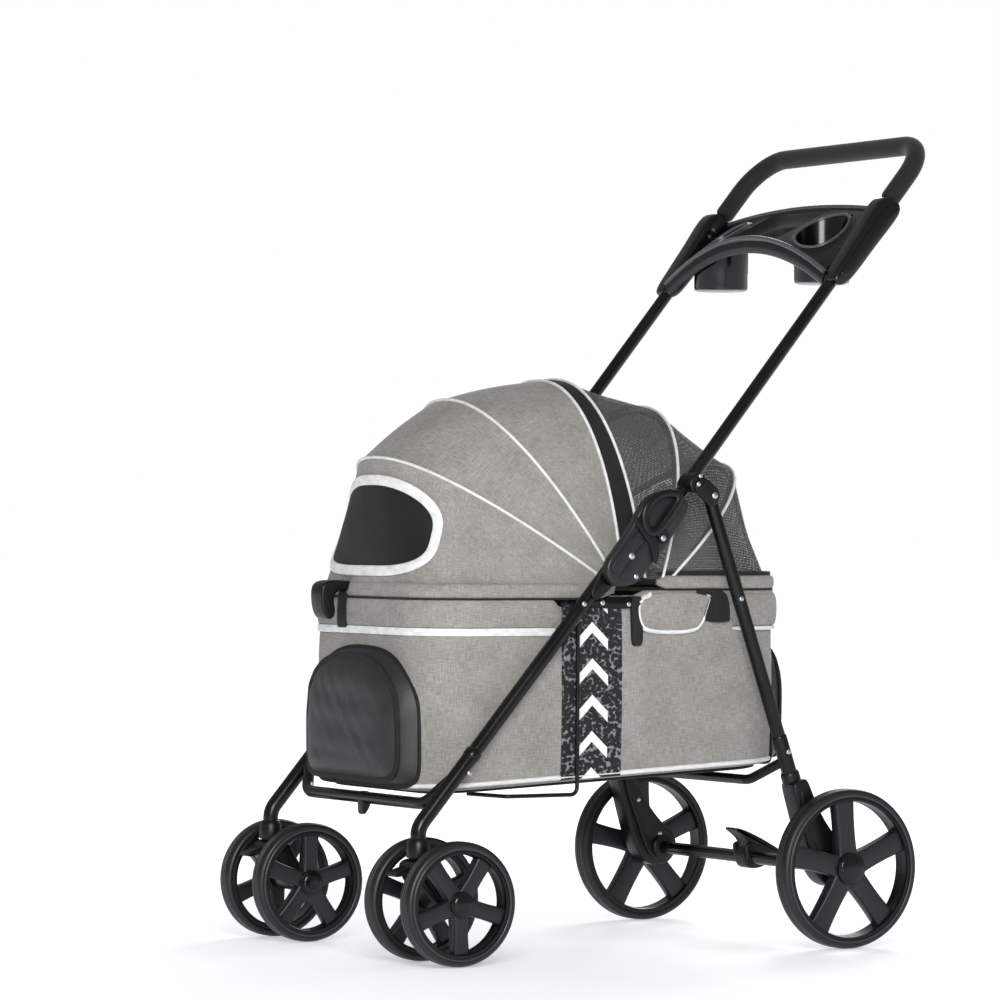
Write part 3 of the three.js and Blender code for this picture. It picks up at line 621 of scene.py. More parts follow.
@dataclass(frozen=True)
class Ribbed(Finish):
    """Woven tape or coil zip: fine cross ribs along the pattern's length."""

    rib_mm: float = 1.6
    second: str = "#000000"

    def build(self) -> bpy.types.Material:
        """Ribs are a wave along u, and the colour drifts between two close shades."""
        material, shader = self.start()
        pattern = add_node(material, "UVMap", {"uv_map": "Pattern"})
        ribs = add_node(material, "TexWave", {"Scale": 1000.0 / self.rib_mm / 6.28, "Distortion": 0.6, "Detail": 1.0}, {"Vector": pattern.outputs["UV"]})
        cloud = add_node(material, "TexNoise", {"Scale": 60.0, "Detail": 4.0}, {"Vector": pattern.outputs["UV"]})
        self.link(material, shader, "Base Color", ramp(material, cloud.outputs["Fac"], [(0.35, self.colour), (0.7, self.second)]))
        self.bump(material, shader, ribs.outputs["Fac"], 0.0002, 0.5)
        return material


class Look(Enum):
    """Every finish on the stroller."""

    # Powder-coated steel tube: black, even, with a soft bright line along its length.
    TUBE = Moulding("Powder-coated steel tube", "black_tube", "#050506", 0.24, ior=1.36, grain_mm=0.8, depth_mm=0.015, second="#0e0f10")
    # Moulded polypropylene: satin black with a fine spark-eroded grain.
    BLACK = Moulding("Moulded black polypropylene", "black_plastic", "#070708", 0.36, ior=1.38, grain_mm=0.7, depth_mm=0.03, second="#0d0e0f")
    # Glossier nylon of the tray, so that its edges catch the light.
    TRAY = Moulding("Moulded glossy ABS tray", "black_plastic", "#060708", 0.2, ior=1.42, grain_mm=1.2, depth_mm=0.01, second="#0b0c0d")
    # The tray's rolled lip: the same plastic, painted pale and bright along its edge as a highlight.
    LIP_HIGHLIGHT = Moulding("Moulded ABS lip with painted highlight", "black_plastic", "#3c4145", 0.2, grain_mm=1.2, depth_mm=0.01, second="#50555a")
    # Glass-filled nylon of the hinge: dark grey and a little paler than the tubes.
    GREY = Moulding("Moulded grey nylon hinge", "grey_plastic", "#17191b", 0.36, ior=1.42, grain_mm=0.6, depth_mm=0.03, second="#202224")
    # Rim flange: a ring beside the tyre painted paler as a highlight.
    RING_HIGHLIGHT = Moulding("Rim ring with painted highlight", "black_plastic", "#26292b", 0.3, grain_mm=0.8, depth_mm=0.01, second="#35383b")
    # EVA tyre: dull with a broad soft sheen and a little dust.
    TYRE = Moulding("Moulded EVA tyre", "tyre_rubber", "#080909", 0.45, grain_mm=1.0, depth_mm=0.08, second="#101112")
    # Closed-cell foam grip: matt and pebbled.
    FOAM = Moulding("Closed-cell foam grip", "grip_foam", "#070707", 0.85, grain_mm=1.2, depth_mm=0.25, second="#0e0e0e", sheen=0.15)
    # Zinc-plated rivets: bright with faint haze.
    ZINC = Moulding("Zinc-plated rivet steel", "bright_steel", "#c9ccd0", 0.28, metallic=1.0, grain_mm=0.6, depth_mm=0.01, second="#aeb2b6")
    CLOTH = Melange("Melange linen-look polyester", "grey_cloth", "#94918d", 0.9, sheen=0.12)
    LINING = Melange("Melange pad cover", "grey_cloth", "#7b7874", 0.92, sheen=0.2, pale="#9a9690", dark="#5a5753")
    MESH = OpenMesh("Black warp-knit mesh", "black_mesh", "#5c5c5a", 0.85, open_share=0.5)
    DENSE = OpenMesh("Black pocket mesh", "black_mesh", "#2b2c2c", 0.5, open_share=0.05, dent_mm=0.06)
    FILM = OpenMesh("Dark window mesh", "black_mesh", "#111112", 0.55, hole_mm=2.0, open_share=0.16, dent_mm=0.04)
    WEBBING = Webbing("Jacquard webbing", "black_mesh", "#0d0e10", 0.7)
    BINDING = Ribbed("Black woven binding", "black_mesh", "#0b0b0c", 0.8, second="#161617")
    PIPING = Ribbed("Reflective silver-white piping", "grey_cloth", "#e6e7e6", 0.42, second="#c9cbca", sheen=0.2)


_MATERIALS: dict[Look, bpy.types.Material] = {}


def dress(
    piece: bpy.types.Object,
    look: Look,
    body: str | None,
    replaces: Sequence[str] = (),
) -> bpy.types.Object:
    """Gives a piece its finish's material, hides the CAD nodes that it replaces, sets it on its body and logs it."""
    if look not in _MATERIALS:
        _MATERIALS[look] = look.value.build()
    piece.data.materials.clear()
    piece.data.materials.append(_MATERIALS[look])
    if replaces:
        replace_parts(piece, *replaces)
    if body is not None:
        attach(piece, body)
    LOG.info("%s: %s, %d faces, on %s", piece.name, look.value.name, len(piece.data.polygons), body)
    return piece


def recolour(node: str, look: Look) -> None:
    """Gives a CAD node that stays a better material in its own slots."""
    if look not in _MATERIALS:
        _MATERIALS[look] = look.value.build()
    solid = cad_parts[node]
    solid.data.materials.clear()
    solid.data.materials.append(_MATERIALS[look])


def crumple(piece: bpy.types.Object) -> bpy.types.Object:
    """Gives the piece its own copy of its mesh; its shape is left as it is."""
    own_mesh(piece)
    return piece


# ------------------------------------------------------------------ wheels
@dataclass
class Wheel:
    """A five-spoke moulded wheel with a foam tyre, a flange ring painted pale as a highlight and a domed cap."""

    name: str
    radius: float
    width: float
    centre: tuple[float, float, float]
    outer: float
    turn_degrees: float = 0.0

    def tyre(self) -> Patch:
        """Tread with two grooves and round shoulders, turned as a closed ring."""
        r, h = self.radius, self.width / 2
        half = [(r - 8.6, -h + 1), (r - 7, -h), (r - 4, -h), (r - 1.6, -h + 2), (r - 0.3, -h + 5), (r, -h + 8)]
        groove = [(r, -3.2), (r - 1.2, -2.7), (r - 1.2, -1.7), (r, -1.2)]
        left = half + groove
        return turned(left + [(a, -b) for a, b in left[::-1]], self.centre, segments=96, ring=True)

    def rim(self) -> Patch:
        """The rim's channel: a flat band with a rolled edge on both sides."""
        r, h = self.radius - 9.0, self.width / 2
        side = [(r - 6, -h + 5), (r - 6.4, -h + 2.5), (r - 5.4, -h + 0.6), (r - 3, -h + 0.4), (r, -h + 1.4)]
        return turned(side + [(a, -b) for a, b in side[::-1]], self.centre, segments=96, ring=True)

    def flange(self) -> Patch:
        """The bead between rim and tyre on the outer side, painted paler as a highlight."""
        r, h = self.radius - 8.4, self.width / 2
        bead = circle_profile(1.0, 10, 1.0) * np.array([1.5, 1.1]) + np.array([r, self.outer * (h - 0.4)])
        return turned(bead, self.centre, segments=96, ring=True)

    def spokes(self) -> list[Patch]:
        """Five spokes, each a rounded box that swells at the hub and at the rim."""
        run = np.linspace(0, 1, 12)
        length = self.radius - 14.2
        wide = self.radius * (0.13 + 0.02 * (2 * run - 1.0) ** 2)
        deep = self.width * (0.36 - 0.05 * run)
        angle = np.linspace(0, 2 * np.pi, 20, endpoint=False)
        c, s = np.cos(angle), np.sin(angle)
        box = np.stack([np.sign(c) * np.abs(c) ** 0.34, np.sign(s) * np.abs(s) ** 0.34], axis=1)
        reach = 8 + run * (length - 8)
        arm = np.stack(
            np.broadcast_arrays(box[None, :, 1] * deep[:, None], box[None, :, 0] * wide[:, None], reach[:, None]), axis=2
        )
        pieces = []
        for k in range(5):
            turn = np.radians(self.turn_degrees + 72 * k)
            spin = np.array([[1, 0, 0], [0, np.cos(turn), np.sin(turn)], [0, -np.sin(turn), np.cos(turn)]])
            pieces.append(ring_patch(place(arm @ spin + np.array(self.centre))))
        return pieces

    def hub(self) -> Patch:
        """The hub barrel with rounded rims, open at the axle."""
        h, r = self.width / 2, self.radius * 0.17 + 3
        side = [(5.4, -h), (r - 2, -h), (r, -h + 2)]
        return turned(side + [(a, -b) for a, b in side[::-1]], self.centre, segments=40, ring=True)

    def cap(self) -> Patch:
        """A shallow dome on the outer face with a stepped edge."""
        h, r = self.width / 2, self.radius * 0.185
        turn = np.linspace(0, np.pi / 2 * 0.97, 9)
        dome = [(r + 1.5, h - 2), (r + 1.5, h + 0.6), (r, h + 1.2)]
        dome += list(zip(r * np.cos(turn) * 0.97, h + 1.2 + 3.6 * np.sin(turn)))
        return turned(dome, self.centre, X_AXIS * self.outer, 40)

    def build(self, hub_node: str, tyre_node: str) -> None:
        """Makes the wheel's pieces on its own body."""
        body = self.name
        dress(make_piece(f"{body}_moulding", [self.rim(), self.hub()]), Look.BLACK, body, [hub_node])
        dress(make_piece(f"{body}_spokes", self.spokes()), Look.GREY, body)
        dress(make_piece(f"{body}_tread", [self.tyre()]), Look.TYRE, body, [tyre_node])
        # The ring's pale colour is a painted highlight along the tyre's edge.
        dress(make_piece(f"{body}_ring", [self.flange()]), Look.RING_HIGHLIGHT, body)
        dress(make_piece(f"{body}_cap", [self.cap()]), Look.TRAY, body)


# ------------------------------------------------------------------ frame
@dataclass
class FrontFrame:
    """Front legs with their lower sleeves, the cross tube, the side wires and both casters."""

    leg_x: float = 190.5
    leg_radius: float = 8.8
    pivot: tuple[float, float] = (-7.0, 491.0)
    lean: tuple[float, float] = (-0.652, -0.758)
    caster_y: float = -288.0
    axle_y: float = -258.0
    wheel_radius: float = 75.0
    wheel_offset: float = 44.0

    def on_leg(self, y: float) -> float:
        """Height of the leg's centre line at y."""
        return self.pivot[1] + (y - self.pivot[0]) * self.lean[1] / self.lean[0]

    def point(self, along: float, aside: float = 0.0) -> tuple[float, float]:
        """A side-view point down the leg from the fold pivot, and square to it."""
        (y, z), (dy, dz) = self.pivot, self.lean
        return (y + dy * along - dz * aside, z + dz * along + dy * aside)

    def legs(self) -> None:
        """Each leg is a slim tube that runs down into a wider sleeve, which bends upright."""
        for name, side in SIDES:
            x = side * self.leg_x
            joint = -214.0
            upper = tube([(x, joint, self.on_leg(joint)), (x, *self.point(18))], self.leg_radius)
            lower = tube(
                [(x, self.caster_y, 149), (x, self.caster_y, self.on_leg(self.caster_y)), (x, joint, self.on_leg(joint))],
                9.6,
                bend=26,
            )
            collar = tube([(x, joint - 5, self.on_leg(joint - 5)), (x, joint + 5, self.on_leg(joint + 5))], 10.6, soft_ends=True)
            dress(make_piece(f"front_leg_{name}_tube", [upper, lower, collar]), Look.TUBE, "front_frame", [f"front_leg_{name}"])
            out = x + side * 8.9
            heads = [rivet(out, -61.6, 432, side=side), rivet(out + side * 0.9, -223, 229, side=side), rivet(out, -20, 478, 2.6, side=side)]
            dress(make_piece(f"front_leg_{name}_rivets", heads), Look.ZINC, "front_frame")

    def eye_plates(self) -> None:
        """The pressed plate on each leg that turns on the hinge pin."""
        outline = [(-15, 6), (-8, 14), (8, 14), (64, 9), (70, 0), (64, -9), (8, -14), (-8, -14), (-15, -6)]
        for name, side in SIDES:
            face = side * 200.4
            shape = plate([self.point(a, b) for a, b in outline], face, face + side * 4.6, 1.2, rounds=2)
            dress(make_piece(f"hinge_base_{name}_plate", [shape]), Look.TUBE, "front_frame", [f"hinge_base_{name}"])

    def cross_parts(self) -> None:
        """The bent front cross tube with its hook, and the wire beside the basket on each side."""
        z = self.on_leg(-240) - 2
        line = [(181, -238, z + 2), (150, -257, 190), (-150, -257, 190), (-181, -238, z + 2)]
        bar = tube(line, 7.4, bend=30, side=np.array([0.0, 0.75, 0.66]))
        dress(make_piece("front_cross_bar", [bar]), Look.TUBE, "front_frame", ["front_cross_tube"])
        hook = plate([(-263, 198), (-251, 198), (-250, 184), (-256, 172), (-262, 168), (-264, 178)], -7, 7, 2, rounds=2)
        dress(make_piece("front_cross_hook", [hook]), Look.BLACK, "front_frame")
        for name, side in SIDES:
            x = side * 178.5
            bend = side * 122
            wire = tube([(x, -58, 424), (x, -58, 198), (x, -158, 198), (bend, -180, 199)], 2.6, bend=9, side=np.array([0.6, 0.5, 0.62]), sides=12)
            dress(make_piece(f"side_wire_{name}", [wire]), Look.TUBE, "front_frame", [f"support_wire_{name}"])

    def casters(self) -> None:
        """Socket, swivelling fork, axle and toe lever of each caster, and its two wheels."""
        y, ay, r = self.caster_y, self.axle_y, self.wheel_radius
        outline = [(y - 17, 127), (y - 16, 106), (ay - 13, 70), (ay - 2, 61), (ay + 11, 66), (ay + 13, 82), (y + 23, 112), (y + 17, 127)]
        lever = [(y - 12, 118), (y - 14, 111), (y - 34, 106), (y - 39, 109), (y - 34, 113), (y - 22, 118)]
        for name, side in SIDES:
            x = side * self.leg_x
            cup = turned([(11, 0), (14, 1), (14.6, 4), (13.6, 18), (11.5, 23), (10.4, 24)], (x, y, 127.8), Z_AXIS, 36)
            dress(make_piece(f"caster_{name}_socket", [cup]), Look.BLACK, "front_frame", [f"caster_socket_{name}"])
            fork = plate(outline, x - 21, x + 21, 5)
            rib = plate([(y - 12, 120), (ay - 8, 72), (ay + 6, 70), (y + 14, 116)], x - 23.2, x + 23.2, 2)
            reach = self.wheel_offset + 12.5
            axle = tube([(x - reach, ay, r), (x + reach, ay, r)], 5, side=Z_AXIS)
            toe = plate(lever, x - 11, x + 11, 1.6, rounds=2)
            dress(make_piece(f"caster_{name}_fork", [fork, rib, axle, toe]), Look.BLACK, f"caster_{name}", [f"caster_fork_{name}"])
            for way, step in (("outer", 1.0), ("inner", -1.0)):
                body = f"front_wheel_{name}_{way}"
                centre = (side * (self.leg_x + step * self.wheel_offset), ay, r)
                Wheel(body, r, 25, centre, side * step, 18 + 20 * step).build(f"{body}_hub", f"{body}_tyre")


@dataclass
class RearFrame:
    """Rear legs, axle housings, axle, cross tube, brake pedal and rear wheels."""

    leg_x: float = 204.0
    foot: tuple[float, float] = (243.0, 206.0)
    top: tuple[float, float] = (114.0, 572.0)

    def along(self, share: float) -> tuple[float, float]:
        """A point on the leg's centre line, from its foot up."""
        (y0, z0), (y1, z1) = self.foot, self.top
        return (y0 + (y1 - y0) * share, z0 + (z1 - z0) * share)

    def legs(self) -> None:
        """Each leg is a tube that stands in a wider sleeve, with rivets and the basket's pivot bolt."""
        for name, side in SIDES:
            x = side * self.leg_x
            upper = tube([(x, *self.along(0.1)), (x, *self.along(1.0))], 8.4, soft_ends=True)
            lower = tube([(x, *self.foot), (x, *self.along(0.17))], 9.6, soft_ends=True)
            dress(make_piece(f"rear_leg_{name}_tube", [upper, lower]), Look.TUBE, "rear_frame", [f"rear_leg_{name}"])
            out = x + side * 8.2
            heads = [rivet(out, 159.7, 438, side=side), rivet(out + side * 1.2, 230.6, 246, side=side), rivet(out + side * 3.4, 248, 191, 3, side=side)]
            dress(make_piece(f"rear_leg_{name}_rivets", heads), Look.ZINC, "rear_frame")

    def housings(self) -> None:
        """The moulded foot: a broad web with a raised rib, its axle boss and the wheel's stub."""
        web = [(231, 202), (233, 208), (251, 214), (256, 208), (266, 186), (280, 160), (304, 132), (324, 118), (328, 98), (318, 80), (298, 74), (278, 80), (264, 98), (254, 124), (244, 160)]
        rib = [(240, 198), (250, 200), (272, 156), (296, 126), (314, 114), (318, 98), (310, 86), (298, 83), (282, 88), (274, 102), (264, 128), (250, 162)]
        for name, side in SIDES:
            inner, outer = side * 188, side * 224.5
            x = side * self.leg_x
            body = plate(web, x - side * 11, outer, 5)
            face = plate(rib, inner, outer + side * 0.8, 2.4)
            sleeve = tube([(x, *self.along(0.045)), (x, *self.along(-0.16))], 12.0, soft_ends=True)
            boss = turned([(13, -8), (16, -6), (16, 4), (14, 6)], (side * 190, 300, 100), X_AXIS * side, 36)
            stub = tube([(side * 223, 300, 100), (side * 252, 300, 100)], 5, side=Z_AXIS)
            dress(make_piece(f"rear_foot_{name}", [body, face, sleeve, boss, stub]), Look.BLACK, "rear_frame", [f"rear_housing_{name}"])
            screws = [rivet(side * 187.8, 296, 118, 3, 1.2, -side), rivet(side * 187.8, 262, 164, 3, 1.2, -side)]
            dress(make_piece(f"rear_foot_{name}_screws", screws), Look.ZINC, "rear_frame")

    def cross_parts(self) -> None:
        """The axle tube, the bent cross tube under the basket and its wire loop."""
        axle = tube([(-188, 300, 100), (188, 300, 100)], 8.2, side=Z_AXIS)
        dress(make_piece("rear_axle_tube", [axle]), Look.TUBE, "rear_frame", ["rear_axle"])
        line = [(197, 230, 232), (158, 208, 209), (-158, 208, 209), (-197, 230, 232)]
        bar = tube(line, 6.2, bend=26, side=np.array([0.0, 0.7, -0.7]))
        dress(make_piece("rear_cross_bar", [bar]), Look.TUBE, "rear_frame", ["rear_cross_tube"])

    def brake(self) -> None:
        """The brake pedal: a swept fin with two side ribs on a sleeve round the axle."""
        fin = [(268, 138), (276, 140), (300, 131), (326, 118), (348, 105), (346, 98), (322, 91), (308, 86), (294, 86), (287, 92), (286, 104), (291, 116), (286, 126)]
        blade = plate(fin, 6, 34, 4)
        ribs = [plate([(284, 124), (322, 112), (330, 104), (300, 90), (288, 98)], a, a + 5, 1.5) for a in (2.5, 32.5)]
        dress(make_piece("brake_fin", [blade, *ribs]), Look.BLACK, "brake_pedal", ["brake_pedal"])

    def wheels(self) -> None:
        """Both braked rear wheels."""
        for name, side in SIDES:
            body = f"rear_wheel_{name}"
            Wheel(body, 100, 27, (side * 240, 300, 100), side, 5).build(f"{body}_hub", f"{body}_tyre")


@dataclass
class Handle:
    """The handle tube, foam grip, drinks tray, fold hinges and leg brackets."""

    x: float = 192.0
    foot: tuple[float, float] = (31.0, 508.0)
    top: tuple[float, float] = (457.0, 1020.0)
    grip_foot: tuple[float, float] = (393.0, 943.0)
    corner: float = 55.0
    face: float = 200.4

    def lean(self) -> Array:
        """Unit direction up the handle tube, in side view."""
        run = np.subtract(self.top, self.foot)
        return run / np.linalg.norm(run)

    def point(self, along: float, aside: float = 0.0) -> tuple[float, float]:
        """A side-view point up the tube from its foot, and square to it."""
        dy, dz = self.lean()
        return (self.foot[0] + dy * along - dz * aside, self.foot[1] + dz * along + dy * aside)

    def bow(self, foot: tuple[float, float], radius: float, soft: bool) -> Patch:
        """A tube up one side, over the bar and down the other."""
        dy, dz = self.lean()
        line = [(self.x, *foot), (self.x, *self.top), (-self.x, *self.top), (-self.x, *foot)]
        return tube(line, radius, self.corner, np.array([0.0, -dz, dy]), 24, soft)

    def tubes(self) -> None:
        """The bare tube, the foam over its top and a clamp collar under the foam."""
        dress(make_piece("handle_bow", [self.bow(self.foot, 8.0, False)]), Look.TUBE, "handle_frame", ["handle_tube"])
        dress(make_piece("handle_foam", [self.bow(self.grip_foot, 12.5, True)]), Look.FOAM, "handle_frame", ["handle_grip"])
        collars = []
        for side in (1.0, -1.0):
            x = side * self.x
            collars.append(tube([(x, *self.point(534)), (x, *self.point(564))], 12.6, soft_ends=True))
            collars.append(tube([(x, *self.point(524)), (x, *self.point(536))], 10.6, soft_ends=True))
        dress(make_piece("handle_collars", collars), Look.BLACK, "handle_frame")

    def hinges(self) -> None:
        """The fold hinge on each side: case, raised panels, release loop, pin and screws."""
        case = [(-40, 462), (-43, 482), (-24, 504), (-4, 529), (6, 550), (21, 566), (42, 572), (66, 569), (80, 556), (74, 539), (53, 513), (16, 469), (-2, 455), (-26, 452)]
        panels = [
            [(-34, 470), (-35, 481), (-4, 518), (8, 522), (4, 508), (-24, 470)],
            [(-20, 460), (-24, 466), (12, 510), (26, 518), (24, 505), (-8, 463)],
            [(40, 524), (48, 522), (72, 552), (68, 560), (60, 556)],
        ]
        loop = [(10, 528), (18, 519), (30, 522), (46, 542), (62, 562), (54, 569), (36, 568), (20, 560), (9, 546)]
        saddle = [self.point(a, b) for a, b in ((22, 9), (22, -9), (74, -9), (74, 9))]
        for name, side in SIDES:
            inner = side * (self.face + 5.0)
            outer = inner + side * 14.0
            parts = [plate(case, inner, outer, 4.5), plate(saddle, side * 183, side * (self.face + 7), 3)]
            parts += [plate(p, outer - side * 1.0, outer + side * 1.8, 1.2, rounds=2) for p in panels]
            dress(make_piece(f"hinge_case_{name}", parts), Look.GREY, "handle_frame", [f"hinge_housing_{name}"])
            strap = [(-7, 536), (2, 540), (24, 522), (32, 502), (30, 484), (24, 480), (20, 500), (10, 514)]
            over = plate(strap, outer + side * 2.0, outer + side * 4.8, 1.3)
            line = smooth_outline(loop, 2, 72)
            centre_x = outer + side * 5.3
            path = place(np.column_stack([np.full(len(line), centre_x), line]))
            band = carry(path, X_AXIS, circle_profile(3.0, 16, 1.7), closed=True)
            bridge = plate([(22, 524), (36, 502), (48, 514), (34, 532)], outer + side * 2.1, outer + side * 7, 1.6, rounds=2)
            dress(make_piece(f"release_loop_{name}", [band, bridge, over]), Look.BLACK, f"release_lever_{name}", [f"release_lever_{name}"])
            pin = [rivet(outer + side * 1.2, -7, 491, 4.6, 2.4, side), rivet(outer + side * 0.2, 0, 466, 3.6, 1.8, side)]
            pin.append(tube([(side * 197, -7, 491), (outer, -7, 491)], 3.9, side=Z_AXIS))
            dress(make_piece(f"hinge_pin_{name}_steel", pin), Look.ZINC, "handle_frame", [f"hinge_pin_{name}"])
            screw = [rivet(outer + side * 7, 35, 513, 4, 1.8, side)]
            dress(make_piece(f"release_screw_{name}", screw), Look.ZINC, f"release_lever_{name}")

    def brackets(self) -> None:
        """The clamp on each tube that the rear leg hangs from, with its three rivets."""
        for name, side in SIDES:
            outer = side * 217.5
            clamp = [self.point(a, b) for a, b in ((84, 9.5), (84, -10), (110, -10), (110, 9.5))]
            arm = [self.point(108, 2), self.point(87, 2), self.point(84, -11), (102, 559), (108, 553), (119, 554), (125, 564), (121, 576)]
            parts = [plate(clamp, side * 182, outer - side * 3, 3, rounds=2), plate(arm, side * 213.2, outer, 1.6, rounds=2)]
            dress(make_piece(f"leg_clamp_{name}", parts), Look.BLACK, "handle_frame", [f"leg_bracket_{name}"])
            heads = [rivet(outer - side * 0.3, 116, 566, 4.4, 2.2, side), rivet(outer - side * 0.3, 92, 580, 3.2, 1.8, side), rivet(outer - side * 2.2, 96, 590, 3.0, 1.8, side)]
            dress(make_piece(f"leg_clamp_{name}_rivets", heads), Look.ZINC, "handle_frame")


@dataclass
class Tray:
    """The drinks tray between the handle tubes: two cup wells, a dished middle and a front arch."""

    half: float = 183.0
    front: float = 300.0
    rear: float = 398.0
    cup_x: float = 118.0
    cup_y: float = 342.0
    cup_radius: float = 36.0
    divide: float = 66.0

    def height(self, x: Array, y: Array) -> Array:
        """Top face: 902 - 50 s^2 at the front to 944 - 12 s^2 at the rear, s = x / half."""
        s = (x / self.half) ** 2
        share = (y - self.front) / (self.rear - self.front)
        return (902 - 50 * s) * (1 - share) + (944 - 12 * s) * share

    def cup_side(self, side: float) -> Patch:
        """The face round a cup: rings that grow from the well's circle to the side's rectangle."""
        angle = np.linspace(0, 2 * np.pi, 96, endpoint=False)
        c, s = np.cos(angle), np.sin(angle)
        x0, x1 = (self.divide, self.half) if side > 0 else (-self.half, -self.divide)
        cx = side * self.cup_x
        to_x = np.where(c > 0, (x1 - cx) / np.maximum(c, 1e-9), (x0 - cx) / np.minimum(c, -1e-9))
        to_y = np.where(s > 0, (self.rear - self.cup_y) / np.maximum(s, 1e-9), (self.front - self.cup_y) / np.minimum(s, -1e-9))
        edge = np.minimum(np.abs(to_x), np.abs(to_y))
        share = np.linspace(0, 1, 10)[:, None]
        reach = self.cup_radius * (1 - share) + edge[None] * share
        x, y = cx + reach * c, self.cup_y + reach * s
        rise = 3.0 * np.exp(-((reach - self.cup_radius) / 4.0) ** 2)
        grid = np.stack([x, y, self.height(x, y) + rise], axis=2)
        return shell_patch(place(grid), 0.0035, place((cx, self.cup_y, 700)), wrap_columns=True)

    def middle(self) -> Patch:
        """The dished middle: the top face less 17 mm of a smooth square dip."""
        u, v = np.meshgrid(np.linspace(-1, 1, 25), np.linspace(-1, 1, 19))
        x = u * self.divide
        y = (self.front + self.rear) / 2 + v * (self.rear - self.front) / 2
        dip = 17 * np.clip(1 - u**6, 0, 1) * np.clip(1 - v**6, 0, 1)
        return shell_patch(place(np.stack([x, y, self.height(x, y) - dip], axis=2)), 0.003, place((0, 350, 700)))

    def well(self, side: float) -> Patch:
        """A cup well: a wall 2.5 mm thick up to the sloping tray, two steps outside, a flat floor."""
        r = self.cup_radius
        radius = np.array([0.5, r - 5, r - 1.5, r - 0.6, r - 0.6, r, r, r - 2.5, r - 2.5, r - 6, 0.5])
        level = np.array([0, 0, 1.5, 5, 22, 24, 0, 0, 8, 3.2, 3.2], float) + 839
        angle = np.linspace(0, 2 * np.pi, 72, endpoint=False)
        x = side * self.cup_x + radius[:, None] * np.cos(angle)
        y = self.cup_y + radius[:, None] * np.sin(angle)
        z = np.broadcast_to(level[:, None], x.shape).copy()
        z[6:8] = self.height(x[6:8], y[6:8]) + 1.5
        return ring_patch(place(np.stack([x, y, z], axis=2)))

    def edge(self, y: float, z_drop: float, profile: Array, reach: float) -> Patch:
        """A lip or apron carried along the tray's front or rear edge."""
        x = np.linspace(-reach, reach, 41)
        line = np.stack([x, np.full_like(x, y), self.height(x, np.full_like(x, y)) - z_drop], axis=1)
        return carry(place(line), np.array([0.0, -1.0, 0.0]), profile)

    def build(self) -> None:
        """The tray, its front arch, its lips painted pale as a highlight along its edges and cup rims, and the cheeks
        that clip it to the tubes.
        """
        wells = [self.well(side) for side in (1.0, -1.0)]
        faces = [self.cup_side(side) for side in (1.0, -1.0)]
        apron = circle_profile(1.0, 20) * np.array([2.4, 10.5])
        low = circle_profile(1.0, 20) * np.array([2.2, 6.0])
        edges = [self.edge(self.front + 1, 9.5, apron, 184), self.edge(self.rear - 1, 4, low, 184)]
        dress(make_piece("tray_moulding", [*faces, *wells, self.middle(), *edges], 35), Look.TRAY, "handle_frame", ["drink_tray"])
        # The lips' pale colour is a painted highlight on the tray's edges and round the cups.
        lip = circle_profile(4.0, 16, 0.8)
        lips = [self.edge(self.front, -0.5, lip, 186), self.edge(self.rear, -1.0, lip, 184)]
        ring = circle_profile(2.2, 12)
        for side in (1.0, -1.0):
            turn = np.linspace(0, 2 * np.pi, 72, endpoint=False)
            x, y = side * self.cup_x + 35.4 * np.cos(turn), self.cup_y + 35.4 * np.sin(turn)
            lips.append(carry(place(np.stack([x, y, self.height(x, y) + 2.6], axis=1)), Z_AXIS, ring, closed=True))
        dress(make_piece("tray_lips", lips), Look.LIP_HIGHLIGHT, "handle_frame")
        cheek = [(303, 833), (295, 842), (316, 871), (340, 903), (366, 941), (380, 949), (396, 945), (402, 931), (392, 916), (361, 882), (334, 850), (316, 833)]
        face = [(309, 842), (306, 850), (348, 902), (372, 932), (384, 938), (391, 930), (384, 918), (354, 882), (324, 848)]
        for name, side in SIDES:
            inner, outer = side * 183.4, side * 212.4
            parts = [plate(cheek, inner, outer, 6), plate(face, outer - side, outer + side * 1.6, 1.4)]
            dress(make_piece(f"tray_cheek_{name}", parts), Look.TRAY, "handle_frame", [f"tray_wing_{name}"])


# ------------------------------------------------------------------ basket
def slab_profile(thick: float, high: float, power: float = 4.0, sides: int = 20) -> Array:
    """(out, up) points of a superellipse, a flat band with soft edges."""
    angle = np.linspace(0, 2 * np.pi, sides, endpoint=False)
    c, s = np.cos(angle), np.sin(angle)
    return np.stack([np.sign(c) * np.abs(c) ** (2 / power) * thick / 2, np.sign(s) * np.abs(s) ** (2 / power) * high / 2], axis=1)


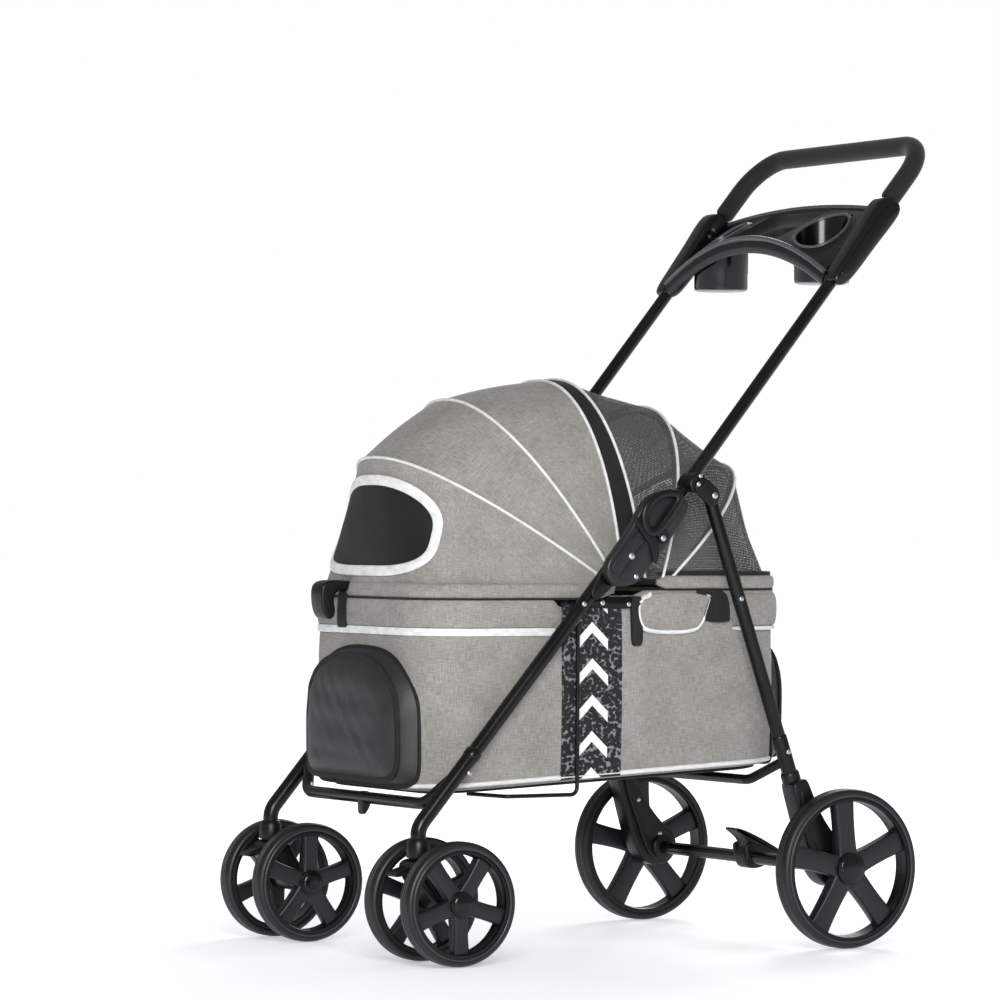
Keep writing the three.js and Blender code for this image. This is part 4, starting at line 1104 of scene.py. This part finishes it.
@dataclass
class Basket:
    """The cloth basket: tub, rim sleeves, zip, stripe, pockets, webbing, flaps and pad."""

    latch_x: float = -48.0
    web_scale: float = 0.977
    half: float = 169.0
    front: float = -259.0
    rear: float = 266.0
    top: float = 428.0
    corner: float = 74.0
    floor: float = 203.0
    rise: float = 0.05

    def floor_at(self, y: Array) -> Array:
        """Height of the basket's underside, which climbs to the rear."""
        return self.floor + self.rise * (y - self.front)

    def loop(self, inset: float, count: int) -> Array:
        """The basket's outline in plan, from the middle of the left side round the front."""
        w, y0, y1 = self.half - inset, self.front + inset, self.rear - inset
        corners = [(w, 0), (w, y0), (-w, y0), (-w, y1), (w, y1), (w, 0.01)]
        return resample(rounded_path(corners, max(self.corner - inset, 6), 14)[:-1], count, closed=True)

    def rim_line(
        self,
        start: float,
        out: float,
        z: float,
        rear: bool = False,
        count: int = 110,
    ) -> tuple[Array, Array]:
        """A level line round the front or the rear from y = start on the left to the right.

        Returns:
            The points in metres and their outward directions.
        """
        w = self.half + out
        end = self.rear + out if rear else self.front - out
        line = resample(rounded_path([(w, start), (w, end), (-w, end), (-w, start)], self.corner + out, 14), count)
        path = place(np.column_stack([line, np.full(count, z)]))
        tangent = np.gradient(path, axis=0)
        side = np.cross(tangent, Z_AXIS)
        side /= np.linalg.norm(side, axis=1, keepdims=True)
        middle = place((0, 0, z))
        if (side * (path - middle)).sum() < 0:
            side = -side
        return path, side

    def band(
        self,
        start: float,
        out: float,
        z: float,
        thick: float,
        high: float,
        rear: bool = False,
        power: float = 4.0,
    ) -> Patch:
        """A flat or puffed band round the front or the rear, with rounded ends."""
        path, side = self.rim_line(start, out, z, rear)
        taper = np.minimum(1.0, 0.35 + np.minimum(np.arange(len(path)), np.arange(len(path))[::-1]) * 0.33)
        return carry(path, side, slab_profile(thick, high, power), taper)

    def tub(self) -> None:
        """Walls and floor in one cloth: level loops down the wall, a round turn, then inwards."""
        count = 224
        drop = np.linspace(0, 1, 26)
        turn = np.linspace(0, np.pi / 2, 6)[1:]
        plan = self.loop(0, count)
        under = self.floor_at(plan[:, 1])
        outward = plan - self.loop(20, count)
        outward /= np.linalg.norm(outward, axis=1, keepdims=True)
        rows = []
        for share in drop:
            level = self.top * (1 - share) + (under + 14) * share
            bulge = 2.2 * np.sin(np.pi * share)
            rows.append(np.column_stack([plan + outward * bulge, level]))
        for angle in turn:
            rows.append(np.column_stack([plan - outward * 14 * (1 - np.cos(angle)), under + 14 * (1 - np.sin(angle))]))
        last = rows[-1]
        for share in (0.8, 0.5, 0.2, 0.04):
            rows.append(np.column_stack([last[:, 0] * share, (last[:, 1] - 3) * share + 3, np.zeros(count)]))
            rows[-1][:, 2] = self.floor_at(rows[-1][:, 1])
        grid = place(np.stack(rows))
        centre = place((0, 0, 330))
        creases = cloth_noise(grid, 140, 1.5, 2.0) * np.concatenate([np.sin(np.pi * drop) ** 0.5, np.zeros(9)])[:, None]
        grid = grid + creases[..., None] * np.column_stack([outward, np.zeros(count)])[None]
        piece = make_piece("basket_cloth", [shell_patch(grid, 0.0025, centre, wrap_columns=True, pole=-1)])
        crumple(dress(piece, Look.CLOTH, "basket", ["basket_tub"]))
        board = [np.column_stack([self.loop(inset, 96), self.floor_at(self.loop(inset, 96)[:, 1]) + z]) for inset, z in ((24, -4.5), (20, -3.5), (20, -1.2), (24, -0.4))]
        crumple(dress(make_piece("basket_base_board", [ring_patch(place(np.stack(board)))]), Look.BINDING, "basket"))

    def pad(self) -> None:
        """The floor cushion: a slab with a rounded edge that swells by simulation."""
        rows = []
        for inset, z in ((34, 4), (24, 6), (20, 12), (20, 18), (24, 24), (34, 26)):
            plan = self.loop(inset, 120)
            rows.append(np.column_stack([plan, self.floor_at(plan[:, 1]) + z]))
        piece = make_piece("floor_cushion", [ring_patch(place(np.stack(rows)))])
        piece = swell(piece, 0.006)
        crumple(dress(piece, Look.LINING, "basket", ["floor_pad"]))

    def trims(self) -> None:
        """Rim sleeves, zip line, reflective stripe and the piping at the bottom edge."""
        sleeves = {
            "rim_sleeve_front": self.band(-4, -1.5, 447, 11, 19, power=2.6),
            "rim_band_front": self.band(-78, 1.2, 420, 6, 35, power=3.2),
            "rim_sleeve_rear": self.band(62, -1.0, 458, 11, 17, rear=True, power=2.6),
            "rim_roll_rear": self.band(168, 1.5, 424, 13, 42, rear=True, power=2.6),
            "rim_band_rear": self.band(28, 0.6, 440, 7, 16, rear=True, power=3.0),
        }
        for name, patch in sleeves.items():
            dress(make_piece(name, [patch]), Look.CLOTH, "basket")
        dark = [self.band(-20, 2.6, 437.6, 4, 2.6), self.band(64, 0.2, 449, 6, 3, rear=True), self.band(60, -2.5, 468.5, 5, 6, rear=True)]
        dress(make_piece("rim_zip", dark), Look.BINDING, "basket")
        stripes = [self.band(-78, 2.4, 397.5, 2.6, 9.5)]
        crumple(dress(make_piece("basket_stripe_front", stripes), Look.PIPING, "basket"))
        rolled = [self.band(172, 4.0, 400.5, 3.6, 5.0, rear=True, power=2.0)]
        crumple(dress(make_piece("rim_roll_piping", rolled), Look.PIPING, "basket"))
        plan = self.loop(1.5, 200)
        line = np.column_stack([plan, self.floor_at(plan[:, 1]) + 6.5])
        outward = np.column_stack([plan - self.loop(20, 200), np.zeros(200)])
        edge = carry(place(line), outward, circle_profile(3.0, 12), closed=True)
        crumple(dress(make_piece("basket_bottom_piping", [edge]), Look.PIPING, "basket"))

    def wall_y(self, x: Array, rear: bool) -> Array:
        """Where the end wall stands at x: flat, then round the corner's circle."""
        over = np.clip(np.abs(x) - (self.half - self.corner), 0, self.corner - 0.5)
        depth = self.corner - np.sqrt(self.corner**2 - over**2)
        return self.rear - depth if rear else self.front + depth

    def pocket(
        self,
        name: str,
        rear: bool,
        half: float,
        low: float,
        high: float,
        out: float,
        node: str,
    ) -> None:
        """A bulging D-shaped mesh pocket: rings that grow from its middle, out by 1 - f^8."""
        angle = np.linspace(0, 2 * np.pi, 112, endpoint=False)
        c, s = np.cos(angle), np.sin(angle)
        lift = np.where(s > 0, np.abs(s) ** (2 / 2.5), -(np.abs(s) ** (2 / 9.0)))
        width = half * np.sign(c) * np.abs(c) ** np.where(s > 0, 2 / 2.5, 2 / 9.0)
        middle = low + (high - low) * 0.45
        tall = np.where(s > 0, high - middle, middle - low)
        share = np.sin(np.linspace(0.02, np.pi / 2, 26))[:, None]
        x = share * width
        z = middle + share * (tall * lift)
        sign = 1.0 if rear else -1.0
        y = self.wall_y(x, rear) + sign * (0.8 + out * (1 - share**8) * (1 - 0.12 * (x / half) ** 2))
        grid = place(np.stack(np.broadcast_arrays(x, y, z), axis=2))
        grid = grid + np.array([0, sign, 0]) * cloth_noise(grid, 60, 1.6, 5.0)[..., None] * (1 - share**6)[..., None]
        piece = make_piece(name, [shell_patch(grid, 0.0012, place((0, 0, middle)), wrap_columns=True, pole=0)])
        crumple(dress(piece, Look.DENSE, "basket", [node]))
        row = 17
        bound = carry(grid[row], np.array([0, sign, 0.0]), slab_profile(4.2, 11, 3), closed=True)
        foot = carry(grid[-1], np.array([0, sign, 0.0]), slab_profile(4, 7, 3), closed=True)
        crumple(dress(make_piece(f"{name}_binding", [bound, foot]), Look.BINDING, "basket"))

    def side_trims(self) -> None:
        """On each side: wide webbing, a short strap, a bound flap and the dark slot behind it."""
        for name, side in SIDES:
            face = side * (self.half + 1.2)
            z = np.linspace(0, 1, 30)[:, None]
            y = np.linspace(-76, 10, 15)[None]
            low = self.floor_at(y) + 3
            grid = np.stack(np.broadcast_arrays(face + side * (2.4 * np.sin(np.pi * z)) + 0 * y, y + 0 * z, low + (436 - low) * z), axis=2)
            uv = np.stack(np.broadcast_arrays((y + 76) / 1000 * self.web_scale, z * 0.233), axis=2)
            if side < 0:
                uv = np.stack([0.084 - uv[..., 0], uv[..., 1]], axis=2)
            strap = make_piece(f"side_webbing_{name}", [shell_patch(place(grid), 0.0018, place((0, 0, 330)), uv=uv)])
            crumple(dress(strap, Look.WEBBING, "basket"))
            tongue = plate([(22, 440), (30, 441), (38, 440), (39, 410), (39, 381), (31, 379), (24, 380), (23, 410)], face - side * 0.5, face + side * 5.2, 1.2, rounds=1)
            crumple(dress(make_piece(f"side_strap_{name}", [tongue]), Look.BINDING, "basket"))
            bar = plate([(-66, 437), (-66, 428), (34, 424), (36, 438)], face - side * 1.0, face + side * 4.6, 2, rounds=2)
            dress(make_piece(f"rim_bar_{name}", [bar]), Look.TUBE, "basket")
            bolts = [rivet(face + side * 4.6, -20, 433, 3.4, 0.9, side), rivet(face + side * 4.6, 18, 431, 3.0, 0.9, side)]
            dress(make_piece(f"rim_bolts_{name}", bolts), Look.ZINC, "basket")
            flap = [(33, 446), (33, 410), (46, 397), (114, 397), (127, 408), (134, 430), (142, 446)]
            shape = plate(flap, face, face + side * 5.5, 2.4, rounds=2)
            dress(make_piece(f"side_flap_{name}", [shape]), Look.CLOTH, "basket")
            line = smooth_outline(np.array(flap), 2, 120)
            keep = np.roll(line, -int(np.argmin(np.abs(line[:, 0] - 33) + np.abs(line[:, 1] - 446))), axis=0)
            edge = keep[(keep[:, 1] < 443.5)]
            edge = edge[np.argsort(np.unwrap(np.arctan2(edge[:, 1] - 470, edge[:, 0] - 86)))]
            run = np.column_stack([np.full(len(edge), face + side * 1.9), edge])
            piping = carry(place(resample(run, 60)), X_AXIS, circle_profile(3.6, 14))
            dress(make_piece(f"side_flap_piping_{name}", [piping]), Look.PIPING, "basket")
            slot = plate([(112, 448), (126, 416), (134, 408), (166, 408), (168, 412), (166, 438), (158, 448), (140, 451)], face - side * 1, face + side * 5.4, 2, rounds=2)
            dress(make_piece(f"side_slot_{name}", [slot]), Look.BINDING, "basket")

    def latch(self) -> None:
        """The strap latch over the front rim."""
        y = self.front
        hook = [(y + 4, 457), (y - 22, 459), (y - 38, 456), (y - 43, 446), (y - 41, 422), (y - 34, 410), (y - 25, 410), (y - 21, 420), (y - 25, 436), (y - 18, 446), (y + 4, 446)]
        left, right = self.latch_x - 15, self.latch_x + 15
        dress(make_piece("front_latch", [plate(hook, left, right, 3)]), Look.BLACK, "basket", ["front_tab"])
        pull = [(y - 6, 446), (y - 1, 446), (y - 1, 404), (y - 5, 398), (y - 8, 404)]
        crumple(dress(make_piece("front_latch_strap", [plate(pull, left + 5, right - 5, 1.5, rounds=2)]), Look.BINDING, "basket"))

    def build(self) -> None:
        """Makes every part of the basket."""
        self.tub()
        self.pad()
        self.trims()
        self.pocket("front_pocket", False, 128, 208, 376, 30, "front_window_panel")
        self.pocket("rear_pocket", True, 138, 228, 398, 26, "rear_window_panel")
        self.side_trims()
        self.latch()
        for node in ("rim_tube_front", "rim_tube_rear"):
            recolour(node, Look.TUBE)


def swell(piece: bpy.types.Object, most: float) -> bpy.types.Object:
    """Puffs a closed pad by cloth pressure, and keeps each point within a cap of where it was.

    Args:
        piece: the pad, a little smaller than it ends.
        most: how far a point may move, in metres.

    Returns:
        The same object with its new mesh.
    """
    remesh = piece.modifiers.new("Remesh", "REMESH")
    remesh.mode, remesh.voxel_size = "VOXEL", 0.006
    graph = bpy.context.evaluated_depsgraph_get()
    even = bpy.data.meshes.new_from_object(piece.evaluated_get(graph))
    piece.modifiers.clear()
    piece.data = even
    before = np.zeros(len(even.vertices) * 3, np.float32)
    even.vertices.foreach_get("co", before)
    cloth = piece.modifiers.new("Cloth", "CLOTH")
    cloth.settings.use_pressure = True
    cloth.settings.uniform_pressure_force = 4.0
    cloth.settings.effector_weights.gravity = 0.0
    scene = bpy.context.scene
    for step in range(1, 21):
        scene.frame_set(step)
    graph = bpy.context.evaluated_depsgraph_get()
    after_mesh = bpy.data.meshes.new_from_object(piece.evaluated_get(graph))
    piece.modifiers.clear()
    after = np.zeros_like(before)
    after_mesh.vertices.foreach_get("co", after)
    move = (after - before).reshape(-1, 3)
    length = np.maximum(np.linalg.norm(move, axis=1, keepdims=True), 1e-9)
    capped = before.reshape(-1, 3) + move * np.minimum(1.0, most / length)
    after_mesh.vertices.foreach_set("co", capped.astype(np.float32).ravel())
    after_mesh.shade_smooth()
    piece.data = after_mesh
    scene.frame_set(1)
    unwrap_from_above(piece)
    return piece


def unwrap_from_above(piece: bpy.types.Object) -> None:
    """A pattern in metres laid straight down on the piece: u = x, v = y."""
    mesh = piece.data
    layer = mesh.uv_layers.get("Pattern") or mesh.uv_layers.new(name="Pattern")
    corners = np.zeros(len(mesh.loops), np.int32)
    mesh.loops.foreach_get("vertex_index", corners)
    points = np.zeros(len(mesh.vertices) * 3, np.float32)
    mesh.vertices.foreach_get("co", points)
    layer.data.foreach_set("uv", points.reshape(-1, 3)[corners, :2].astype(np.float32).ravel())


# ------------------------------------------------------------------ hood
@dataclass(frozen=True)
class Hoop:
    """An arch in a plane through its pivot line: angle up from the front, reach and squareness."""

    hub: tuple[float, float]
    angle: float
    reach: float
    power: float = 2.3

    def line(self, count: int = 81, start: float = 14.0, width: float = 168.0, out: float = 0.0) -> Array:
        """Evenly spaced points: x = width |cos t|^(2/p), length = reach |sin t|^(2/p)."""
        reach, width = self.reach + out, width + out
        first = np.arcsin((start / reach) ** (self.power / 2))
        t = np.linspace(first, np.pi - first, 400)
        c, s = np.cos(t), np.sin(t)
        x = width * np.sign(c) * np.abs(c) ** (2 / self.power)
        length = reach * np.abs(s) ** (2 / self.power)
        turn = np.radians(self.angle)
        points = np.column_stack([x, self.hub[0] - length * np.cos(turn), self.hub[1] + length * np.sin(turn)])
        return resample(points, count)


@dataclass
class Hood:
    """The hood: visor, two folding panels, zip band and the rear net, over five hoops."""

    front_hub: tuple[float, float] = (14.0, 444.0)
    rear_hub: tuple[float, float] = (66.0, 448.0)
    window_half: float = 0.168
    window_low: float = 0.15
    window_high: float = 0.83

    def hoops(self) -> dict[str, Hoop]:
        """Every hoop, and the two rim lines that the cloth is sewn to."""
        f, b = self.front_hub, self.rear_hub
        return {
            "rim_front": Hoop(f, 0.4, 273, 5.4),
            "front": Hoop(f, 32.6, 309),
            "middle": Hoop(f, 56.2, 288),
            "top": Hoop(f, 84.2, 267),
            "crown": Hoop((47.0, 448.0), 82.0, 266),
            "back": Hoop(b, 107.0, 242),
            "tail": Hoop(b, 138.5, 243),
            "rim_rear": Hoop(b, 180.0, 200, 5.4),
        }

    def panel(
        self,
        names: Sequence[str],
        swells: Sequence[float],
        rows: int = 9,
        crease: float = 1.0,
    ) -> Array:
        """Cloth strung between hoops: straight lines from arch to arch, each swelled outwards by
        swell * sin(pi f), with soft creases that die out at the hoops."""
        hoops = self.hoops()
        strips = []
        for k, (a, b, swell_mm) in enumerate(zip(names[:-1], names[1:], swells)):
            first, second = hoops[a].line(), hoops[b].line()
            share = np.linspace(0, 1, rows)[(0 if k == 0 else 1) :, None, None]
            flat = first[None] * (1 - share) + second[None] * share
            hub = np.array([0.0, *hoops[a].hub])
            away = flat - hub
            away[..., 0] *= 0.3
            away /= np.linalg.norm(away, axis=2, keepdims=True)
            arch = np.sin(np.linspace(0, np.pi, flat.shape[1]))[None, :, None] ** 0.6
            creases = cloth_noise(flat / 1000, 120, crease, k + 3.0)[..., None] * 1000
            strips.append(flat + away * np.sin(np.pi * share) * arch * (swell_mm + creases))
        return place(np.concatenate(strips))

    def cloth(self, name: str, grid: Array, look: Look, thickness: float = 0.0018) -> bpy.types.Object:
        """A sheet from a grid with its finish, still without a body."""
        piece = make_piece(name, [shell_patch(grid, thickness, place((0, 30, 440)))])
        return dress(piece, look, None)

    def bend_between(
        self,
        piece: bpy.types.Object,
    ) -> None:
        """Bakes the piece's transform into its mesh and reads its points; nothing more is done with them."""
        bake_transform(piece)
        points = np.zeros(len(piece.data.vertices) * 3, np.float32)
        piece.data.vertices.foreach_get("co", points)

    def piping(self, name: str, hoop: Hoop, body: str, start: float = 16.0, radius: float = 1.9) -> None:
        """A piped seam over a hoop, from a height above its hub."""
        line = place(hoop.line(121, start, out=1.0))
        turn = np.radians(hoop.angle)
        square = np.array([0.0, np.sin(turn), np.cos(turn)])
        dress(make_piece(name, [carry(line, square, circle_profile(radius, 12))]), Look.PIPING, body)

    def window(self, visor: Array) -> None:
        """The dark window round the visor's front and its thick pale binding."""
        angle = np.linspace(0, 2 * np.pi, 144, endpoint=False)
        c, s = np.cos(angle), np.sin(angle)
        middle, tall = (self.window_low + self.window_high) / 2, (self.window_high - self.window_low) / 2
        share = np.linspace(0.03, 1, 14)[:, None]
        u = 0.5 + share * self.window_half * np.sign(c) * np.abs(c) ** (2 / 3.2)
        v = middle + share * tall * np.sign(s) * np.abs(s) ** (2 / 3.2)
        film = on_grid(visor, v, u, 0.0016)
        piece = make_piece("visor_window", [shell_patch(film, 0.0012, place((0, 30, 440)), wrap_columns=True, pole=0)])
        dress(piece, Look.FILM, "hood_front")
        outward = film[-1] - on_grid(visor, v, u, 0.0)[-1]
        dress(make_piece("visor_window_binding", [carry(film[-1], outward, slab_profile(4.0, 13.0, 2.6), closed=True)]), Look.PIPING, "hood_front")

    def build(self) -> None:
        """Makes the hood's cloth, bindings and window."""
        visor = self.panel(["rim_front", "front"], [2.0], 13)
        piece = self.cloth("visor_cloth", visor, Look.CLOTH)
        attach(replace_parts(piece, "hood_visor"), "hood_front")
        self.window(visor)
        piece = self.cloth("hood_cloth_front", self.panel(["front", "middle"], [3.0]), Look.CLOTH)
        self.bend_between(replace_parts(piece, "hood_panel_front"))
        piece = self.cloth("hood_cloth_top", self.panel(["middle", "top"], [3.5]), Look.CLOTH)
        self.bend_between(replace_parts(piece, "hood_panel_top"))
        band = self.cloth("hood_zip_band", self.panel(["top", "crown"], [1.5], 5, 0.2), Look.BINDING)
        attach(band, "basket")
        net = self.cloth("rear_net", self.panel(["crown", "back", "tail", "rim_rear"], [-2.0, -3.0, -2.0]), Look.MESH, 0.0008)
        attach(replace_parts(net, "hood_mesh_rear"), "basket")
        hoops = self.hoops()
        # The folding hoops' piping stops short of the hub, where they close up on each other.
        clear = 36.0
        self.piping("visor_piping", hoops["front"], "hood_front", clear)
        self.piping("middle_piping", hoops["middle"], "hood_middle", clear)
        self.piping("top_piping", hoops["top"], "basket", clear)
        for name in ("crown", "back", "tail"):
            self.piping(f"{name}_piping", hoops[name], "basket")
        for name in ("front", "middle", "top", "back", "tail"):
            recolour(f"hoop_{name}", Look.ZINC)


def on_grid(grid: Array, v: Array, u: Array, lift: float) -> Array:
    """Points on a cloth grid at shares (v, u) of its rows and columns, lifted off by its normal."""
    rows, columns = grid.shape[:2]
    normal = np.cross(np.gradient(grid, axis=0), np.gradient(grid, axis=1))
    normal /= np.maximum(np.linalg.norm(normal, axis=2, keepdims=True), 1e-12)
    if (normal * (grid - place((0, 30, 440)))).sum() < 0:
        normal = -normal
    lifted = grid + normal * lift
    v, u = np.broadcast_arrays(v, u)
    i, j = np.clip(v * (rows - 1), 0, rows - 1.001), np.clip(u * (columns - 1), 0, columns - 1.001)
    a, b = i.astype(int), j.astype(int)
    fi, fj = (i - a)[..., None], (j - b)[..., None]
    top = lifted[a, b] * (1 - fj) + lifted[a, b + 1] * fj
    low = lifted[a + 1, b] * (1 - fj) + lifted[a + 1, b + 1] * fj
    return top * (1 - fi) + low * fi


# ------------------------------------------------------------------ studio
@dataclass
class Studio:
    """A pale floor, soft lights and the camera."""

    eye: tuple[float, float, float] = (5046.7, -3031.8, 528.8)
    azimuth: float = 59.55
    elevation: float = -0.3
    roll: float = 0.34
    lens: float = 167.4

    def camera(self) -> None:
        """Axes from azimuth, elevation and roll: right, up and back are the matrix's columns."""
        az, el, roll = np.radians([self.azimuth, self.elevation, self.roll])
        right = np.array([np.cos(az), np.sin(az), 0.0])
        back = np.array([np.sin(az) * np.cos(el), -np.cos(az) * np.cos(el), np.sin(el)])
        up = np.cross(back, right)
        turned_right = np.cos(roll) * right + np.sin(roll) * up
        turned_up = -np.sin(roll) * right + np.cos(roll) * up
        data = bpy.data.cameras.new("Camera")
        data.lens, data.sensor_width = self.lens, 36.0
        data.clip_end = 200.0
        camera = bpy.data.objects.new("Camera", data)
        bpy.context.scene.collection.objects.link(camera)
        pose = np.eye(4)
        pose[:3, 0], pose[:3, 1], pose[:3, 2], pose[:3, 3] = turned_right, turned_up, back, place(self.eye)
        camera.matrix_world = Matrix(pose.tolist())
        bpy.context.scene.camera = camera

    def light(
        self,
        name: str,
        place_m: tuple[float, float, float],
        target: tuple[float, float, float],
        size: float,
        power: float,
    ) -> None:
        """A square soft light that faces a point."""
        data = bpy.data.lights.new(name, "AREA")
        data.energy, data.size = power, size
        lamp = bpy.data.objects.new(name, data)
        bpy.context.scene.collection.objects.link(lamp)
        back = np.array(place_m) - np.array(target)
        back /= np.linalg.norm(back)
        right = np.cross(Z_AXIS, back)
        right /= np.linalg.norm(right)
        pose = np.eye(4)
        pose[:3, 0], pose[:3, 1], pose[:3, 2], pose[:3, 3] = right, np.cross(back, right), back, place_m
        lamp.matrix_world = Matrix(pose.tolist())

    def floor(self) -> None:
        """A wide pale floor that glows, least round a point just in front of the stroller, which paints a shade there,
        and more further out.
        """
        material = bpy.data.materials.new("Studio floor")
        material.use_nodes = True
        shader = material.node_tree.nodes["Principled BSDF"]
        shader.inputs["Base Color"].default_value = linear("#f4f6fa")
        shader.inputs["Roughness"].default_value = 0.6
        shader.inputs["Emission Color"].default_value = linear("#f1f3f8")
        where = add_node(material, "TexCoord")
        # Painted shade: the floor's glow is weakest round (1.05, -0.2) m in front of the stroller and grows with
        # distance from it.
        near = add_node(material, "VectorMath", {"operation": "SUBTRACT", 1: (1.05, -0.2, 0.0)}, {0: where.outputs["Object"]})
        away = add_node(material, "VectorMath", {"operation": "LENGTH"}, {0: near.outputs["Vector"]})
        glow = add_node(material, "MapRange", {"From Min": 0.3, "From Max": 2.6, "To Min": 0.3, "To Max": 0.8}, {"Value": away.outputs["Value"]})
        material.node_tree.links.new(glow.outputs["Result"], shader.inputs["Emission Strength"])
        size = 60.0
        corners = [(-size, -size, -0.0005), (size, -size, -0.0005), (size, size, -0.0005), (-size, size, -0.0005)]
        mesh = bpy.data.meshes.new("studio_floor")
        mesh.from_pydata(corners, [], [(0, 1, 2, 3)])
        mesh.materials.append(material)
        floor = bpy.data.objects.new("studio_floor", mesh)
        bpy.context.scene.collection.objects.link(floor)

    def build(self) -> None:
        """Sets the whole studio up."""
        self.camera()
        self.floor()
        world = bpy.data.worlds.new("Studio")
        world.use_nodes = True
        background = world.node_tree.nodes["Background"]
        background.inputs["Color"].default_value = (1.0, 1.0, 1.0, 1.0)
        seen = world.node_tree.nodes.new("ShaderNodeLightPath")
        strength = world.node_tree.nodes.new("ShaderNodeMapRange")
        strength.inputs["To Min"].default_value = 0.34
        strength.inputs["To Max"].default_value = 1.0
        world.node_tree.links.new(seen.outputs["Is Camera Ray"], strength.inputs["Value"])
        world.node_tree.links.new(strength.outputs["Result"], background.inputs["Strength"])
        bpy.context.scene.world = world
        bpy.context.scene.view_settings.view_transform = "Standard"
        self.light("Key", (3.0, -1.7, 1.45), (0.0, 0.0, 0.4), 1.3, 92.0)
        self.light("Rim", (-2.4, 2.6, 2.2), (0.0, 0.0, 0.6), 1.6, 45.0)


def main() -> None:
    """Builds the stroller from the wheels up."""
    logging.basicConfig(level=logging.INFO, format="%(name)s: %(message)s", stream=sys.stdout)
    Studio().build()
    front = FrontFrame()
    rear = RearFrame()
    handle = Handle()
    steps: list[Callable[[], None]] = [
        front.legs, front.eye_plates, front.cross_parts, front.casters,
        rear.legs, rear.housings, rear.cross_parts, rear.brake, rear.wheels,
        handle.tubes, handle.hinges, handle.brackets, Tray().build,
        Basket().build, Hood().build,
    ]
    for step in steps:
        step()


if __name__ == "__main__":
    main()
